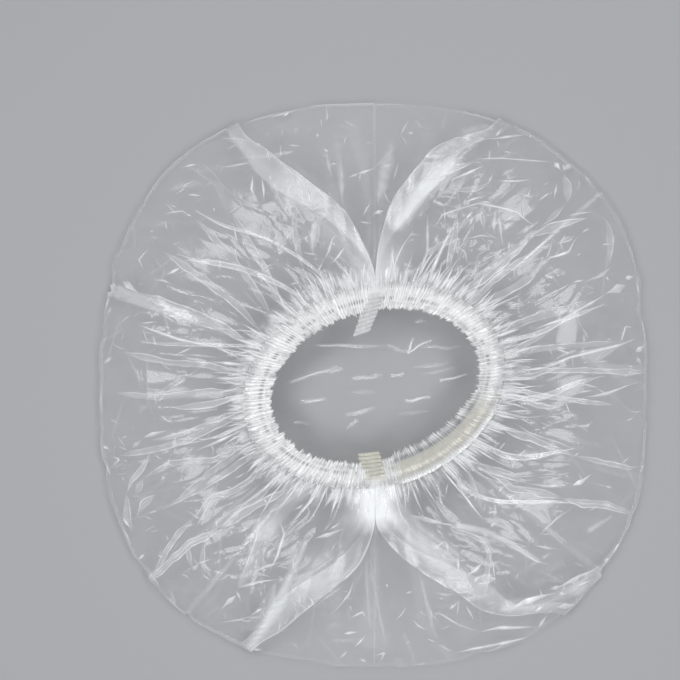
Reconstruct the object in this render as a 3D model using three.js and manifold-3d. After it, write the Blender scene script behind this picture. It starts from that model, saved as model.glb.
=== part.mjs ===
// Disposable film shower cap, lying on its crown with the mouth upwards.
// Millimetres, +Z up. The origin is on the table, under the middle of the crown.
// +Y points to the upper side seam and +X to the right-hand panel.
import * as THREE from "three";
import { mergeVertices } from "three/addons/utils/BufferGeometryUtils.js";
import Module from "manifold-3d";

// Outline of the cap as it lies
const capWidth = 436; // across, along X
const capLength = 448; // from side seam to side seam, along Y
const cornerReach = 236; // from the middle to the outline, halfway between X and Y
const edgeHeight = 8; // of the line where the film turns over, above the table
const edgeTurn = 10; // how far in from the outline that turn reaches

// Film
const filmWall = 0.6; // stands for film of about 0.02
const filmBulge = 6; // rise of the front film between the mouth and the outline
const filmFall = 2.4; // power that keeps the front film high until near the outline
const filmRound = 0.8; // power that rounds it where it meets the outline
const foldCount = 20; // main folds that run from the mouth to the outline
const foldDepth = 4; // of a main fold, from its mean line
const foldAtHem = 0.15; // share of a fold's half wave that the hem holds down
const tuckDepth = 11; // of the tuck over each side seam
const tuckSpread = 55; // half the tuck's width at the outline
const tuckNeck = 6; // half the tuck's width at the hem

// Mouth, hem and elastic
const mouthLength = 164; // inside the frill, along the longer axis
const mouthWidth = 114; // inside the frill, along the shorter axis
const mouthTurn = THREE.MathUtils.degToRad(17); // longer axis, turned from +X
const elasticHeight = 36; // of the elastic's middle line above the table
const frillWidth = 10; // hem between the elastic and the free edge
const tailWidth = 12; // hem between the elastic and the film
const hemTiltMean = THREE.MathUtils.degToRad(18); // the free edge dips into the mouth
const hemTiltSwing = THREE.MathUtils.degToRad(14);
const hemTiltTowards = THREE.MathUtils.degToRad(-40); // direction of the steepest dip
const frillWall = 1.2; // both layers of the free edge
const tailWall = 1.8; // gathered layers next to the film
const casingWall = 1; // above and below the elastic
const ruffleCount = 72;
const ruffleDepth = 1.6; // at the free edge and the tail, nothing at the elastic
const elasticWidth = 8;
const elasticThickness = 0.8;

// Side seams
const weldWidth = 2.4;
const weldThickness = 1.2;
const weldUnder = 20; // how far each weld runs on over the crown film
const tabWidth = 16; // along X
const tabThickness = 3.6;
const upperTabReach = 16; // past the free edge, into the mouth
const lowerTabReach = 8;
const tabRibPitch = 4;
const tabRibHeight = 0.9;

// Between neighbouring pieces
const clearance = 0.3;

// Steps of the curved surfaces
const spokesPerFold = 4;
const stationsPerRuffle = 4;
const stationsPerRing = 72;
const turnSteps = 4;
const frontSteps = 9;
const frontCrowding = 1.6; // power that draws the steps together towards the outline

const fullTurn = 2 * Math.PI;
const upwards = Math.PI / 2; // direction of the upper side seam
const downwards = -Math.PI / 2;

const wasm = await Module();
wasm.setup();

function toSolid(geometry) {
  const bare = geometry.clone();
  bare.deleteAttribute("normal");
  bare.deleteAttribute("uv");
  const merged = mergeVertices(bare, 1e-4);
  return new wasm.Manifold(
    new wasm.Mesh({
      numProp: 3,
      vertProperties: new Float32Array(merged.attributes.position.array),
      triVerts: new Uint32Array(merged.index.array),
    }),
  );
}

function toGeometry(solid) {
  const mesh = solid.getMesh();
  const geometry = new THREE.BufferGeometry();
  geometry.setAttribute("position", new THREE.BufferAttribute(mesh.vertProperties, 3));
  geometry.setIndex(new THREE.BufferAttribute(mesh.triVerts, 1));
  geometry.computeVertexNormals();
  return geometry;
}

// The part of a solid that lies more than a distance from the middle in one direction
function beyond(solid, direction, distance) {
  const reach = 2 * (capWidth + capLength);
  const block = new THREE.BoxGeometry(reach, reach, reach);
  const middle = direction.clone().multiplyScalar(distance + reach / 2);
  block.translate(middle.x, middle.y, middle.z);
  return solid.intersect(toSolid(block));
}

function geometryOf(points, faces) {
  const geometry = new THREE.BufferGeometry().setFromPoints(points);
  geometry.setIndex(faces);
  return geometry;
}

// Radius of the outline towards an angle: a circle with a swell at each rounded corner
const cornerSwell = (cornerReach - (capWidth + capLength) / 4) / 2;
const lengthSwell = (capLength - capWidth) / 4;
function outlineRadius(angle) {
  const mean = cornerReach - cornerSwell;
  return mean - lengthSwell * Math.cos(2 * angle) - cornerSwell * Math.cos(4 * angle);
}

// Radius of the mouth's free edge, a turned ellipse
function mouthRadius(angle) {
  const turned = angle - mouthTurn;
  const along = Math.cos(turned) / (mouthLength / 2);
  const across = Math.sin(turned) / (mouthWidth / 2);
  return 1 / Math.hypot(along, across);
}

function hemTilt(angle) {
  return hemTiltMean + hemTiltSwing * Math.cos(angle - hemTiltTowards);
}

// Radius and height of a point of the hem: out from the elastic, and off the hem's middle
function hemSection(angle, out, off) {
  const tilt = hemTilt(angle);
  return {
    r: mouthRadius(angle) + (frillWidth + out) * Math.cos(tilt) - off * Math.sin(tilt),
    z: elasticHeight + out * Math.sin(tilt) + off * Math.cos(tilt),
  };
}

function around(angle, { r, z }) {
  return new THREE.Vector3(r * Math.cos(angle), r * Math.sin(angle), z);
}

// Where the front film begins, just outside the hem and the seam tabs
const bandHalf = Math.max(tailWall / 2 + ruffleDepth, tabThickness / 2 + tabRibHeight);
function filmStart(angle) {
  const edge = hemSection(angle, tailWidth, 0);
  return { r: edge.r + bandHalf * Math.sin(hemTilt(angle)) + clearance, z: edge.z };
}

// Front film, from share 0 at the hem to share 1 at the outline
function frontPoint(angle, share) {
  const start = filmStart(angle);
  const r = THREE.MathUtils.lerp(start.r, outlineRadius(angle), share);
  const fall = Math.pow(1 - Math.pow(share, filmFall), filmRound);
  const bulge = filmBulge * Math.sin(Math.PI * share) * (1 - share);
  const foldGrowth = Math.sin(Math.PI * THREE.MathUtils.lerp(foldAtHem, 1, share));
  const fold = -foldDepth * foldGrowth * Math.cos(foldCount * angle);
  const beside = (r * Math.cos(angle)) / THREE.MathUtils.lerp(tuckNeck, tuckSpread, share);
  const tuck = tuckDepth * Math.sin(Math.PI * share) * Math.exp(-beside * beside);
  return { r, z: edgeHeight + (start.z - edgeHeight) * fall + bulge + fold - tuck };
}

// The film's outer face along one spoke, from under the crown to the hem
function spokePoints(angle) {
  const points = [];
  const inset = outlineRadius(angle) - edgeTurn;
  for (let step = 0; step <= turnSteps; step += 1) {
    const turn = (step / turnSteps - 1) * (Math.PI / 2);
    points.push({
      r: inset + edgeTurn * Math.cos(turn),
      z: edgeHeight + edgeHeight * Math.sin(turn),
    });
  }
  for (let step = 1; step <= frontSteps; step += 1) {
    points.push(frontPoint(angle, 1 - Math.pow(step / frontSteps, frontCrowding)));
  }
  return points;
}

// The same spoke moved to the film's inner side
function insetPoints(points, depth) {
  return points.map((point, index) => {
    if (index === 0) return { r: point.r, z: point.z + depth };
    const before = points[index - 1];
    const after = points[Math.min(index + 1, points.length - 1)];
    const length = Math.hypot(after.r - before.r, after.z - before.z);
    return {
      r: point.r - (depth * (after.z - before.z)) / length,
      z: point.z + (depth * (after.r - before.r)) / length,
    };
  });
}

// Crown film, flat on the table inside the turn
function crownSolid() {
  const spokes = foldCount * spokesPerFold;
  const outline = Array.from({ length: spokes }, (_, spoke) => {
    const angle = (fullTurn * spoke) / spokes;
    const r = outlineRadius(angle) - edgeTurn - clearance;
    return new THREE.Vector2(r * Math.cos(angle), r * Math.sin(angle));
  });
  const shape = new THREE.Shape(outline);
  return toSolid(new THREE.ExtrudeGeometry(shape, { depth: filmWall, bevelEnabled: false }));
}

// A closed ring round the cap, whose section at each angle is a list of radii and heights
function ringSolid(stations, sectionAt) {
  const points = [];
  const faces = [];
  let sides = 0;
  for (let station = 0; station < stations; station += 1) {
    const angle = (fullTurn * station) / stations;
    const section = sectionAt(angle);
    sides = section.length;
    points.push(...section.map((point) => around(angle, point)));
  }
  for (let station = 0; station < stations; station += 1) {
    const here = station * sides;
    const next = ((station + 1) % stations) * sides;
    for (let side = 0; side < sides; side += 1) {
      const other = (side + 1) % sides;
      faces.push(here + side, next + side, next + other);
      faces.push(here + side, next + other, here + other);
    }
  }
  return toSolid(geometryOf(points, faces));
}

// Front film, from the turn at the outline to the hem
function frontSolid() {
  return ringSolid(foldCount * spokesPerFold, (angle) => {
    const outer = spokePoints(angle);
    return [...outer, ...insetPoints(outer, filmWall).reverse()];
  });
}

// A ring round the mouth, whose section is a list of points out from the elastic and off it
function mouthRingSolid(stations, sectionAt) {
  return ringSolid(stations, (angle) =>
    sectionAt(angle).map(([out, off]) => hemSection(angle, out, off)),
  );
}

function rectangle(width, height) {
  return [
    [width / 2, -height / 2],
    [width / 2, height / 2],
    [-width / 2, height / 2],
    [-width / 2, -height / 2],
  ];
}

const channelWidth = elasticWidth + 2 * clearance;
const channelHeight = elasticThickness + 2 * clearance;

// Gathered hem: folded film that is thickest at the elastic and waves on both sides of it
function hemSolid() {
  const casing = rectangle(channelWidth + 2 * casingWall, channelHeight + 2 * casingWall);
  const outer = mouthRingSolid(ruffleCount * stationsPerRuffle, (angle) => {
    const wave = ruffleDepth * Math.cos(ruffleCount * angle);
    const [lowerOut, upperOut, upperIn, lowerIn] = casing;
    return [
      lowerOut,
      [tailWidth, wave - tailWall / 2],
      [tailWidth, wave + tailWall / 2],
      upperOut,
      upperIn,
      [-frillWidth, frillWall / 2 - wave],
      [-frillWidth, -frillWall / 2 - wave],
      lowerIn,
    ];
  });
  const channel = mouthRingSolid(stationsPerRing, () => rectangle(channelWidth, channelHeight));
  return outer.subtract(channel);
}

function elasticSolid() {
  return mouthRingSolid(stationsPerRing, () => rectangle(elasticWidth, elasticThickness));
}

// A flat outline in Y and Z, given a thickness along X about the middle
function plateAcross(outline, thickness) {
  const shape = new THREE.Shape(outline.map(([y, z]) => new THREE.Vector2(y, z)));
  const geometry = new THREE.ExtrudeGeometry(shape, { depth: thickness, bevelEnabled: false });
  geometry.translate(0, 0, -thickness / 2);
  const toYZX = new THREE.Matrix4().makeBasis(
    new THREE.Vector3(0, 1, 0),
    new THREE.Vector3(0, 0, 1),
    new THREE.Vector3(1, 0, 0),
  );
  return geometry.applyMatrix4(toYZX);
}

function inYZ(angle, { r, z }) {
  return [r * Math.sin(angle), z];
}

// Welded side seam, a narrow bead from the tab over the outline and onto the crown film
function seamGeometry(angle) {
  const [turnStart, ...spoke] = spokePoints(angle);
  const floor = filmWall + clearance;
  const path = [{ r: turnStart.r - weldUnder, z: floor }, { r: turnStart.r, z: floor }, ...spoke];
  const inner = insetPoints(path, weldThickness).reverse();
  return plateAcross([...path, ...inner].map((point) => inYZ(angle, point)), weldWidth);
}

// Seam tabs: the ends of both hems, lapped and welded into a ribbed tongue across the hem
function tabRingSolid(tabReach) {
  const tip = -(frillWidth + tabReach);
  const ribs = Math.round((tailWidth - tip) / tabRibPitch);
  const pitch = (tailWidth - tip) / ribs;
  const section = [
    [tip, -tabThickness / 2],
    [tailWidth, -tabThickness / 2],
    [tailWidth, tabThickness / 2],
  ];
  for (let rib = 0; rib < ribs; rib += 1) {
    const crest = tailWidth - (rib + 0.5) * pitch;
    section.push([crest, tabThickness / 2 + tabRibHeight]);
    section.push([crest - pitch / 2, tabThickness / 2]);
  }
  return mouthRingSolid(stationsPerRing, () => section);
}

// The stretch of a ring that crosses a side seam: end is 1 for the upper one, -1 for the lower
function crossingOf(ring, end) {
  const reach = capWidth + capLength;
  const block = new THREE.BoxGeometry(tabWidth, reach, reach);
  block.translate(0, (end * reach) / 2, 0);
  return ring.intersect(toSolid(block));
}

const clearFilm = { color: 0xe6eaec, roughness: 0.2, metalness: 0, transparent: true };
const film = new THREE.MeshStandardMaterial({ ...clearFilm, opacity: 0.35 });
const gatheredFilm = new THREE.MeshStandardMaterial({ ...clearFilm, opacity: 0.8 });
const rubber = new THREE.MeshStandardMaterial({ color: 0xe4dcc8, roughness: 0.7, metalness: 0 });

const cap = new THREE.Group();
cap.name = "shower_cap";

function addPiece(name, geometry, material) {
  const mesh = new THREE.Mesh(geometry, material);
  mesh.name = name;
  cap.add(mesh);
}

const frontRing = frontSolid();
const crownDisc = crownSolid();
const hemRing = hemSolid();
const elasticRing = elasticSolid();
const weldHalf = weldWidth / 2 + clearance;
const tabHalf = tabWidth / 2 + clearance;

const sides = { left: new THREE.Vector3(-1, 0, 0), right: new THREE.Vector3(1, 0, 0) };
const ends = { upper: new THREE.Vector3(0, 1, 0), lower: new THREE.Vector3(0, -1, 0) };

for (const [sideName, side] of Object.entries(sides)) {
  const front = beyond(frontRing, side, weldHalf);
  for (const [endName, end] of Object.entries(ends)) {
    const panel = beyond(front, end, clearance / 2);
    addPiece(`${sideName}_${endName}_front_panel`, toGeometry(panel), film);
  }
  addPiece(`${sideName}_crown_panel`, toGeometry(beyond(crownDisc, side, clearance / 2)), film);
  addPiece(`${sideName}_hem`, toGeometry(beyond(hemRing, side, tabHalf)), gatheredFilm);
  addPiece(`${sideName}_elastic`, toGeometry(beyond(elasticRing, side, tabHalf)), rubber);
}
addPiece("upper_seam_weld", seamGeometry(upwards), gatheredFilm);
addPiece("lower_seam_weld", seamGeometry(downwards), gatheredFilm);
addPiece("upper_seam_tab", toGeometry(crossingOf(tabRingSolid(upperTabReach), 1)), gatheredFilm);
addPiece("lower_seam_tab", toGeometry(crossingOf(tabRingSolid(lowerTabReach), -1)), gatheredFilm);

export default cap;
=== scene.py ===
# %% [markdown]
# # A clear film shower cap
# A disposable cap is two panels of very thin film, welded together at both sides, with a gathered hem and
# elastic round the mouth. It lies on its crown with the mouth up and is seen from straight above.
# Clear film has almost no colour of its own. What the eye finds is its folds: bright lines where the film
# turns back, lighter ribbons where three layers lie together, and glints of the lamps on small creases. So
# most of this lesson is about the shape of the film, and the finish has to reflect, let light through and
# whiten. Much of the bright lines and glints is painted highlight: white painted along creases and fold edges
# and on small facets, besides the real reflections of the lamps.

# %% Load the frame
import math

import bmesh
import bpy
import numpy as np
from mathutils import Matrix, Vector
from mathutils.bvhtree import BVHTree


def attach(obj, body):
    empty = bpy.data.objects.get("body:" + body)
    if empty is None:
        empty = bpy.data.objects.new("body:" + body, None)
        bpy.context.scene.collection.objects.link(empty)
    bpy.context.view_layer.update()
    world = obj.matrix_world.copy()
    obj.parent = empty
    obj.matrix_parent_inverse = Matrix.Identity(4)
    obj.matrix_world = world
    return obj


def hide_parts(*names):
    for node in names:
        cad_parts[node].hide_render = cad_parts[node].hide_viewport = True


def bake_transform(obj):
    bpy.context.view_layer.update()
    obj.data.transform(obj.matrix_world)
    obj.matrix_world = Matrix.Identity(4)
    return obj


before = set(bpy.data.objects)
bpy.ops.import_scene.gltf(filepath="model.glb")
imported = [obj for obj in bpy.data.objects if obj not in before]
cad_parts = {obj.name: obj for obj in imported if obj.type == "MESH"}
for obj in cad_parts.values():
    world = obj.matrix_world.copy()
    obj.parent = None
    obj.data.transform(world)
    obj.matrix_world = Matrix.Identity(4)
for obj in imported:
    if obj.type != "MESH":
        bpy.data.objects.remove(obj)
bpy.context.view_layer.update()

# %% [markdown]
# ## Camera, floor and lamps
# The camera looks straight down. One pixel of the square picture is 0.786 mm on the film, and the middle of
# the picture lies left of and above the middle of the cap. A long lens from well above keeps the film from
# spreading with its height. Several softboxes stand round the cap, because a crease glints only where it
# tilts halfway towards a lamp: one lamp would light the creases of one direction and leave the others dark.

# %% Camera
MM = 0.001
PIXEL = 0.786 * MM
PICTURE = 680
CAMERA_HEIGHT = 1.5
CAMERA_PLACE = (-27.1 * MM, 35.4 * MM, CAMERA_HEIGHT)
FILM_HEIGHT = 10 * MM
SENSOR = 36

camera = bpy.data.objects.new("camera", bpy.data.cameras.new("camera"))
bpy.context.collection.objects.link(camera)
camera.location = CAMERA_PLACE
camera.data.sensor_width = SENSOR
camera.data.lens = SENSOR * (CAMERA_HEIGHT - FILM_HEIGHT) / (PICTURE * PIXEL)
camera.data.clip_start = 0.05
bpy.context.scene.camera = camera
print("lens", round(camera.data.lens, 1), "mm")

# %% Lamps
LAMP_DISTANCE = 1.3
LAMP_SIZE = 0.4
LAMP_POWER = 2.3
# Azimuth and elevation of each lamp in degrees
LAMPS = ((15, 54), (70, 48), (120, 58), (170, 50), (225, 56), (275, 48), (325, 53))


def add_softbox(name, azimuth, elevation):
    lamp = bpy.data.objects.new(name, bpy.data.lights.new(name, "AREA"))
    bpy.context.collection.objects.link(lamp)
    turn, tilt = math.radians(azimuth), math.radians(elevation)
    lamp.location = (
        LAMP_DISTANCE * math.cos(tilt) * math.cos(turn),
        LAMP_DISTANCE * math.cos(tilt) * math.sin(turn),
        LAMP_DISTANCE * math.sin(tilt),
    )
    lamp.rotation_euler = (math.pi / 2 - tilt, 0, turn + math.pi / 2)
    lamp.data.size = LAMP_SIZE
    lamp.data.energy = LAMP_POWER


for number, (azimuth, elevation) in enumerate(LAMPS):
    add_softbox(f"softbox_{number}", azimuth, elevation)
print(len(LAMPS), "softboxes")

# %% Sky and picture settings
SKY_COLOUR = (0.95, 0.97, 1.0, 1)
SKY_STRENGTH = 0.3
LAYERS_SEEN = 48

scene = bpy.context.scene
scene.view_settings.view_transform = "Standard"
scene.cycles.transparent_max_bounces = LAYERS_SEEN
world = bpy.data.worlds.new("soft_room")
scene.world = world
world.use_nodes = True
room = world.node_tree.nodes["Background"]
room.inputs["Color"].default_value = SKY_COLOUR
room.inputs["Strength"].default_value = SKY_STRENGTH
print("light passes through up to", LAYERS_SEEN, "layers of film")

# %% [markdown]
# ## Shader maths as Python
# Each finish below is a short expression. A small class wraps a node's output and turns the signs of Python
# into Math nodes, and one method adds any other node.

# %% A socket that does sums


class Value:
    def __init__(self, tree, socket):
        self.tree = tree
        self.socket = socket

    def node(self, kind, settings=None, output=0, **sockets):
        made = self.tree.nodes.new(kind)
        for name, value in (settings or {}).items():
            setattr(made, name, value)
        for name, value in sockets.items():
            key = int(name[1:]) if name[0] == "_" else name.replace("_", " ")
            if isinstance(value, Value):
                self.tree.links.new(value.socket, made.inputs[key])
            else:
                made.inputs[key].default_value = value
        return Value(self.tree, made.outputs[output])

    def sum(self, operation, first, second):
        return self.node("ShaderNodeMath", {"operation": operation}, _0=first, _1=second)

    def __add__(self, other):
        return self.sum("ADD", self, other)

    __radd__ = __add__

    def __sub__(self, other):
        return self.sum("SUBTRACT", self, other)

    def __rsub__(self, other):
        return self.sum("SUBTRACT", other, self)

    def __mul__(self, other):
        return self.sum("MULTIPLY", self, other)

    __rmul__ = __mul__

    def __truediv__(self, other):
        return self.sum("DIVIDE", self, other)

    def __pow__(self, other):
        return self.sum("POWER", self, other)

    def clamp(self, low, high):
        return self.sum("MINIMUM", self.sum("MAXIMUM", self, low), high)


# %% What every finish needs


def new_finish(name):
    """An empty material, its Principled shader and a Value to start sums from."""
    finish = bpy.data.materials.new(name)
    finish.use_nodes = True
    tree = finish.node_tree
    shader = tree.nodes["Principled BSDF"]
    place = tree.nodes.new("ShaderNodeTexCoord")
    return finish, shader, Value(tree, place.outputs["Object"])


def feed(shader, name, value):
    value.tree.links.new(value.socket, shader.inputs[name])


def spots(place, scale, detail):
    """Noise from 0 to 1 on the object's own coordinates, in features per metre."""
    settings = {"noise_dimensions": "3D", "noise_type": "FBM"}
    return place.node("ShaderNodeTexNoise", settings, Vector=place, Scale=scale, Detail=detail)


def painted(place, name):
    """A number stored on the mesh, one for each vertex."""
    return place.node("ShaderNodeAttribute", {"attribute_name": name}, output="Fac")


def blended(share, first, second):
    """One colour that turns into another."""
    return share.node("ShaderNodeMix", {"data_type": "RGBA"}, output=2, _0=share, _6=first, _7=second)


def bumped(height, strength, distance):
    return height.node("ShaderNodeBump", Strength=strength, Distance=distance, Height=height)


# %% Floor
FLOOR_SIZE = 8.0
FLOOR_GREY = (0.40, 0.405, 0.415, 1)

floor_mesh = bmesh.new()
bmesh.ops.create_grid(floor_mesh, x_segments=8, y_segments=8, size=FLOOR_SIZE / 2)
floor = bpy.data.objects.new("floor", bpy.data.meshes.new("floor"))
floor_mesh.to_mesh(floor.data)
floor_mesh.free()
bpy.context.collection.objects.link(floor)

floor_paint, shader, place = new_finish("floor_paint")
shader.inputs["Base Color"].default_value = FLOOR_GREY
shader.inputs["Roughness"].default_value = 0.85
shader.inputs["Specular IOR Level"].default_value = 0.2
floor.data.materials.append(floor_paint)
print("floor", FLOOR_SIZE, "m across")

# %% [markdown]
# ## The curves that the cap follows
# The solids of the frame were made from a few curves: a rounded outline, a turned ellipse for the mouth and a
# hem that tilts. The film here follows the same curves, so that it lies where its solids are, and adds the
# folds that are too fine for them. Lengths are in millimetres until a mesh is made.

# %% Outline, mouth and hem
CAP_WIDTH = 436.0
CAP_LENGTH = 448.0
CORNER_REACH = 236.0
MOUTH_LENGTH = 164.0
MOUTH_WIDTH = 114.0
MOUTH_TURN = math.radians(17)
ELASTIC_HEIGHT = 36.0
FRILL_WIDTH = 10.0
TAIL_WIDTH = 12.0
HEM_TILT = math.radians(18)
HEM_TILT_SWING = math.radians(14)
HEM_TILT_TOWARDS = math.radians(-40)
BAND_HALF = 2.7
CLEARANCE = 0.3


def outline_radius(angle):
    corner = (CORNER_REACH - (CAP_WIDTH + CAP_LENGTH) / 4) / 2
    length = (CAP_LENGTH - CAP_WIDTH) / 4
    return CORNER_REACH - corner - length * np.cos(2 * angle) - corner * np.cos(4 * angle)


def mouth_radius(angle):
    along = np.cos(angle - MOUTH_TURN) / (MOUTH_LENGTH / 2)
    across = np.sin(angle - MOUTH_TURN) / (MOUTH_WIDTH / 2)
    return 1 / np.hypot(along, across)


def hem_tilt(angle):
    return HEM_TILT + HEM_TILT_SWING * np.cos(angle - HEM_TILT_TOWARDS)


def hem_section(angle, out, off):
    """Radius and height of a point of the hem, out from the elastic and off the hem's middle."""
    tilt = hem_tilt(angle)
    radius = mouth_radius(angle) + (FRILL_WIDTH + out) * np.cos(tilt) - off * np.sin(tilt)
    return radius, ELASTIC_HEIGHT + out * np.sin(tilt) + off * np.cos(tilt)


def film_start(angle):
    radius, height = hem_section(angle, TAIL_WIDTH, 0)
    return radius + BAND_HALF * np.sin(hem_tilt(angle)) + CLEARANCE, height


turn = np.linspace(0, 2 * np.pi, 721)
for name, radius in (("outline", outline_radius(turn)), ("mouth", mouth_radius(turn))):
    print(name, radius.min().round(1), "to", radius.max().round(1), "mm from the middle")

# %% Small helpers for curves and noise
DOWN = Vector((0, 0, -1))


def smooth(low, high, x):
    t = np.clip((x - low) / (high - low), 0, 1)
    return t * t * (3 - 2 * t)


def mix(first, second, share):
    return first + (second - first) * share


def eased(x, places, values, softness):
    """A line through these values with its corners rounded off."""
    lines = [np.interp(x + offset, places, values) for offset in np.linspace(-softness, softness, 9)]
    return np.mean(lines, axis=0)


def lattice_noise(u, v, seed):
    """Smooth noise from -1 to 1, about one hill or hollow to a unit square."""
    size = 97
    table = np.random.default_rng(seed).uniform(-1, 1, (size, size))
    column, row = np.floor(u).astype(int), np.floor(v).astype(int)
    across, up = smooth(0, 1, u - column), smooth(0, 1, v - row)
    left, right = column % size, (column + 1) % size
    low, high = (mix(table[line % size, left], table[line % size, right], across) for line in (row, row + 1))
    return mix(low, high, up)


def round_side(side, radius, angle):
    """x and y of points of one side, by their angle from the lower seam."""
    return side * radius * np.sin(angle), -radius * np.cos(angle)


def curve_through(knots, steps):
    """A smooth curve through the knots of each row, with this many steps between two knots."""
    before = 2 * knots[:, :1] - knots[:, 1:2]
    after = 2 * knots[:, -1:] - knots[:, -2:-1]
    line = np.concatenate([before, knots, after], axis=1)
    a, b, c, d = line[:, :-3, None], line[:, 1:-2, None], line[:, 2:-1, None], line[:, 3:, None]
    t = np.arange(steps) / steps
    spans = 0.5 * (2 * b + (c - a) * t + (2 * a - 5 * b + 4 * c - d) * t**2 + (3 * b - a - 3 * c + d) * t**3)
    return np.concatenate([spans.reshape(len(knots), -1), knots[:, -1:]], axis=1)


# %% [markdown]
# ## Film panels
# Each half of the cap is one sheet: it starts under the hem, runs out over the front in pleats, turns over at
# the outline and comes back under the crown. The gathers of the hem have to go somewhere, and in thin film
# they go into knife pleats: the film runs forward, folds back on itself and runs on, three layers deep. A
# pleat is wide near the mouth and runs out towards the outline, where the film lies open.
# A grid is the natural start, because a sheet has no other topology. Its columns follow the pleats and its
# rows run round the cap. Every row has a few knots, two for each pleat and one between neighbours, and a
# curve through the knots lays the columns down, so a fold is simply a place where the knots change order.

# %% Rows of a front
PLEATS = 22
LONG_PLEATS = 4
SEAM_KNOTS = 3
STEPS = 8
FRONT_ROWS = 146
EDGE_ROWS = 6
UNDER_HEM = -0.06
TURN_FROM = 0.94
TURN_END = 1.1
MEAN_START = 91
MEAN_OUTLINE = 226

row_share = np.linspace(0, 1, FRONT_ROWS + 1)
front_reach = UNDER_HEM + (1 - UNDER_HEM) * (1 - (1 - row_share) ** 1.25)
edge_reach = 1 + (TURN_END - 1) * np.arange(1, EDGE_ROWS + 1) / EDGE_ROWS
reach = np.concatenate([front_reach, edge_reach])[:, None]
share_out = np.clip(reach, 0, 1)
mean_radius = mix(MEAN_START, MEAN_OUTLINE, np.minimum(reach, 1))
print(len(reach), "rows from under the hem to the outline's edge")

# %% Folds that hang over the side seams
# Distance from each side seam to the edge of its fold, at steps of reach
CURTAINS = {
    ("left", "lower"): ((0.19, 0.15), (0.29, 4.3), (0.41, 13), (0.63, 44), (0.9, 80), (1.0, 95)),
    ("right", "lower"): ((0.19, 0.15), (0.29, 9), (0.42, 29), (0.62, 61), (0.8, 92), (1.0, 148)),
    ("left", "upper"): (
        (0.05, 0.3), (0.14, 5), (0.28, 14), (0.4, 25), (0.51, 39), (0.64, 58), (0.87, 90), (1.0, 104),
    ),
    ("right", "upper"): ((0.05, 0.3), (0.2, 2.5), (0.43, 12), (0.6, 28), (0.76, 47), (0.9, 80), (1.0, 98)),
}
CURTAIN_SOFTNESS = 0.035
# How bright each of those edges is
EDGE_WHITE = {
    ("left", "lower"): 0.9,
    ("right", "lower"): 0.35,
    ("left", "upper"): 0.3,
    ("right", "upper"): 0.4,
}
SEEDS = {"left": 11, "right": 23}
SIDES = {"left": -1, "right": 1}
ENDS = {"lower": -1, "upper": 1}
widest = max(line[-1][1] for line in CURTAINS.values())
print(len(CURTAINS), "folds hang over the seams, up to", widest, "mm away from them")

# %% Knots of a front


def more_seam_knots(values):
    """Extra knots between each seam and the fold that hangs over it, where the film is wide."""
    share = np.arange(SEAM_KNOTS) / SEAM_KNOTS
    start = mix(values[:, :1], values[:, 1:2], share)
    end = mix(values[:, -1:], values[:, -2:-1], share)[:, ::-1]
    return np.concatenate([start, values[:, 1:-1], end], axis=1)


def fold_knots(half):
    """Angle, lift, depth and layers at the knots of every row, from the lower to the upper side seam."""
    rng = np.random.default_rng(SEEDS[half])
    places = (np.arange(PLEATS) + 1 + rng.uniform(-0.36, 0.36, PLEATS)) / (PLEATS + 1)
    long = rng.permutation(PLEATS) < LONG_PLEATS
    widths = np.where(long, rng.uniform(3, 6, PLEATS), rng.uniform(1.5, 4, PLEATS))
    ends = np.where(long, rng.uniform(0.6, 0.9, PLEATS), rng.uniform(0.16, 0.45, PLEATS))
    leans = rng.choice([-1, 1], PLEATS)
    lifts = rng.uniform(0.5, 0.9, PLEATS)

    depth = (3 + 24 * smooth(0.05, 0.6, reach) - 17 * smooth(0.6, 1, reach)) / mean_radius
    hung = (eased(reach, *zip(*CURTAINS[half, end]), CURTAIN_SOFTNESS) for end in ENDS)
    uneven = 1 + 0.03 * lattice_noise(reach * 11, reach * 0 + SEEDS[half], 18)
    lower, upper = (np.arcsin(off_seam * uneven / mean_radius) for off_seam in hung)
    first, last = lower + depth, np.pi - upper - depth
    centres = np.concatenate([lower + depth / 2, first + (last - first) * places, last + depth / 2], axis=1)
    pitch = np.gradient(centres, axis=1)[:, 1:-1]

    opened = smooth(ends - 0.35, ends + 0.05, reach)
    grown = mix(0.5, 1, smooth(0, 0.25, reach)) * mix(1, 0.55, smooth(0.4, 1, reach))
    folded = np.minimum(widths * grown / 2 / mean_radius, 0.42 * pitch)
    halves = np.concatenate([depth / 2, mix(folded, -pitch / 6, opened), depth / 2], axis=1)
    heights = lifts * leans * mix(1, 0.25, opened)
    edge_lift = np.ones_like(reach)
    heights = np.concatenate([-edge_lift, heights, edge_lift], axis=1)
    layers = np.concatenate([0.3 * edge_lift, 1 - opened, 0.3 * edge_lift], axis=1)

    knots = 3 * (PLEATS + 2) + 1
    angle, lift, under, ply = np.zeros((4, len(reach), knots))
    angle[:, -1] = np.pi
    angle[:, 1::3] = centres + halves
    angle[:, 2::3] = centres - halves
    angle[:, 3:-1:3] = (centres[:, :-1] + centres[:, 1:]) / 2
    lift[:, 1::3] = heights
    lift[:, 2::3] = -heights
    lift *= mix(1, 0.3, smooth(0.98, TURN_END, reach))
    ply[:, 1::3] = layers
    ply[:, 2::3] = layers
    under[:, :2] = 1
    under[:, -2:] = 1
    return [more_seam_knots(values) for values in (angle, lift, under, ply)]


knots = fold_knots("left")[0].shape[1]
print(knots, "knots in each row,", (knots - 1) * STEPS + 1, "columns")

# %% [markdown]
# ## Facets and creases
# Crumpled film isn't wavy. It breaks into flat facets that meet in straight creases, because a sheet that
# thin can bend but hardly stretch. So the height of a crumpled area is read off a coarse sheet of flat
# triangles: a grid whose vertices are shaken about and lifted at random. Stretching that grid makes facets
# that run one way, out from the mouth on the front and from side to side under the crown. On top come some
# single creases, as film keeps every fold that it was packed in.

# %% Sheets of flat facets


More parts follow.
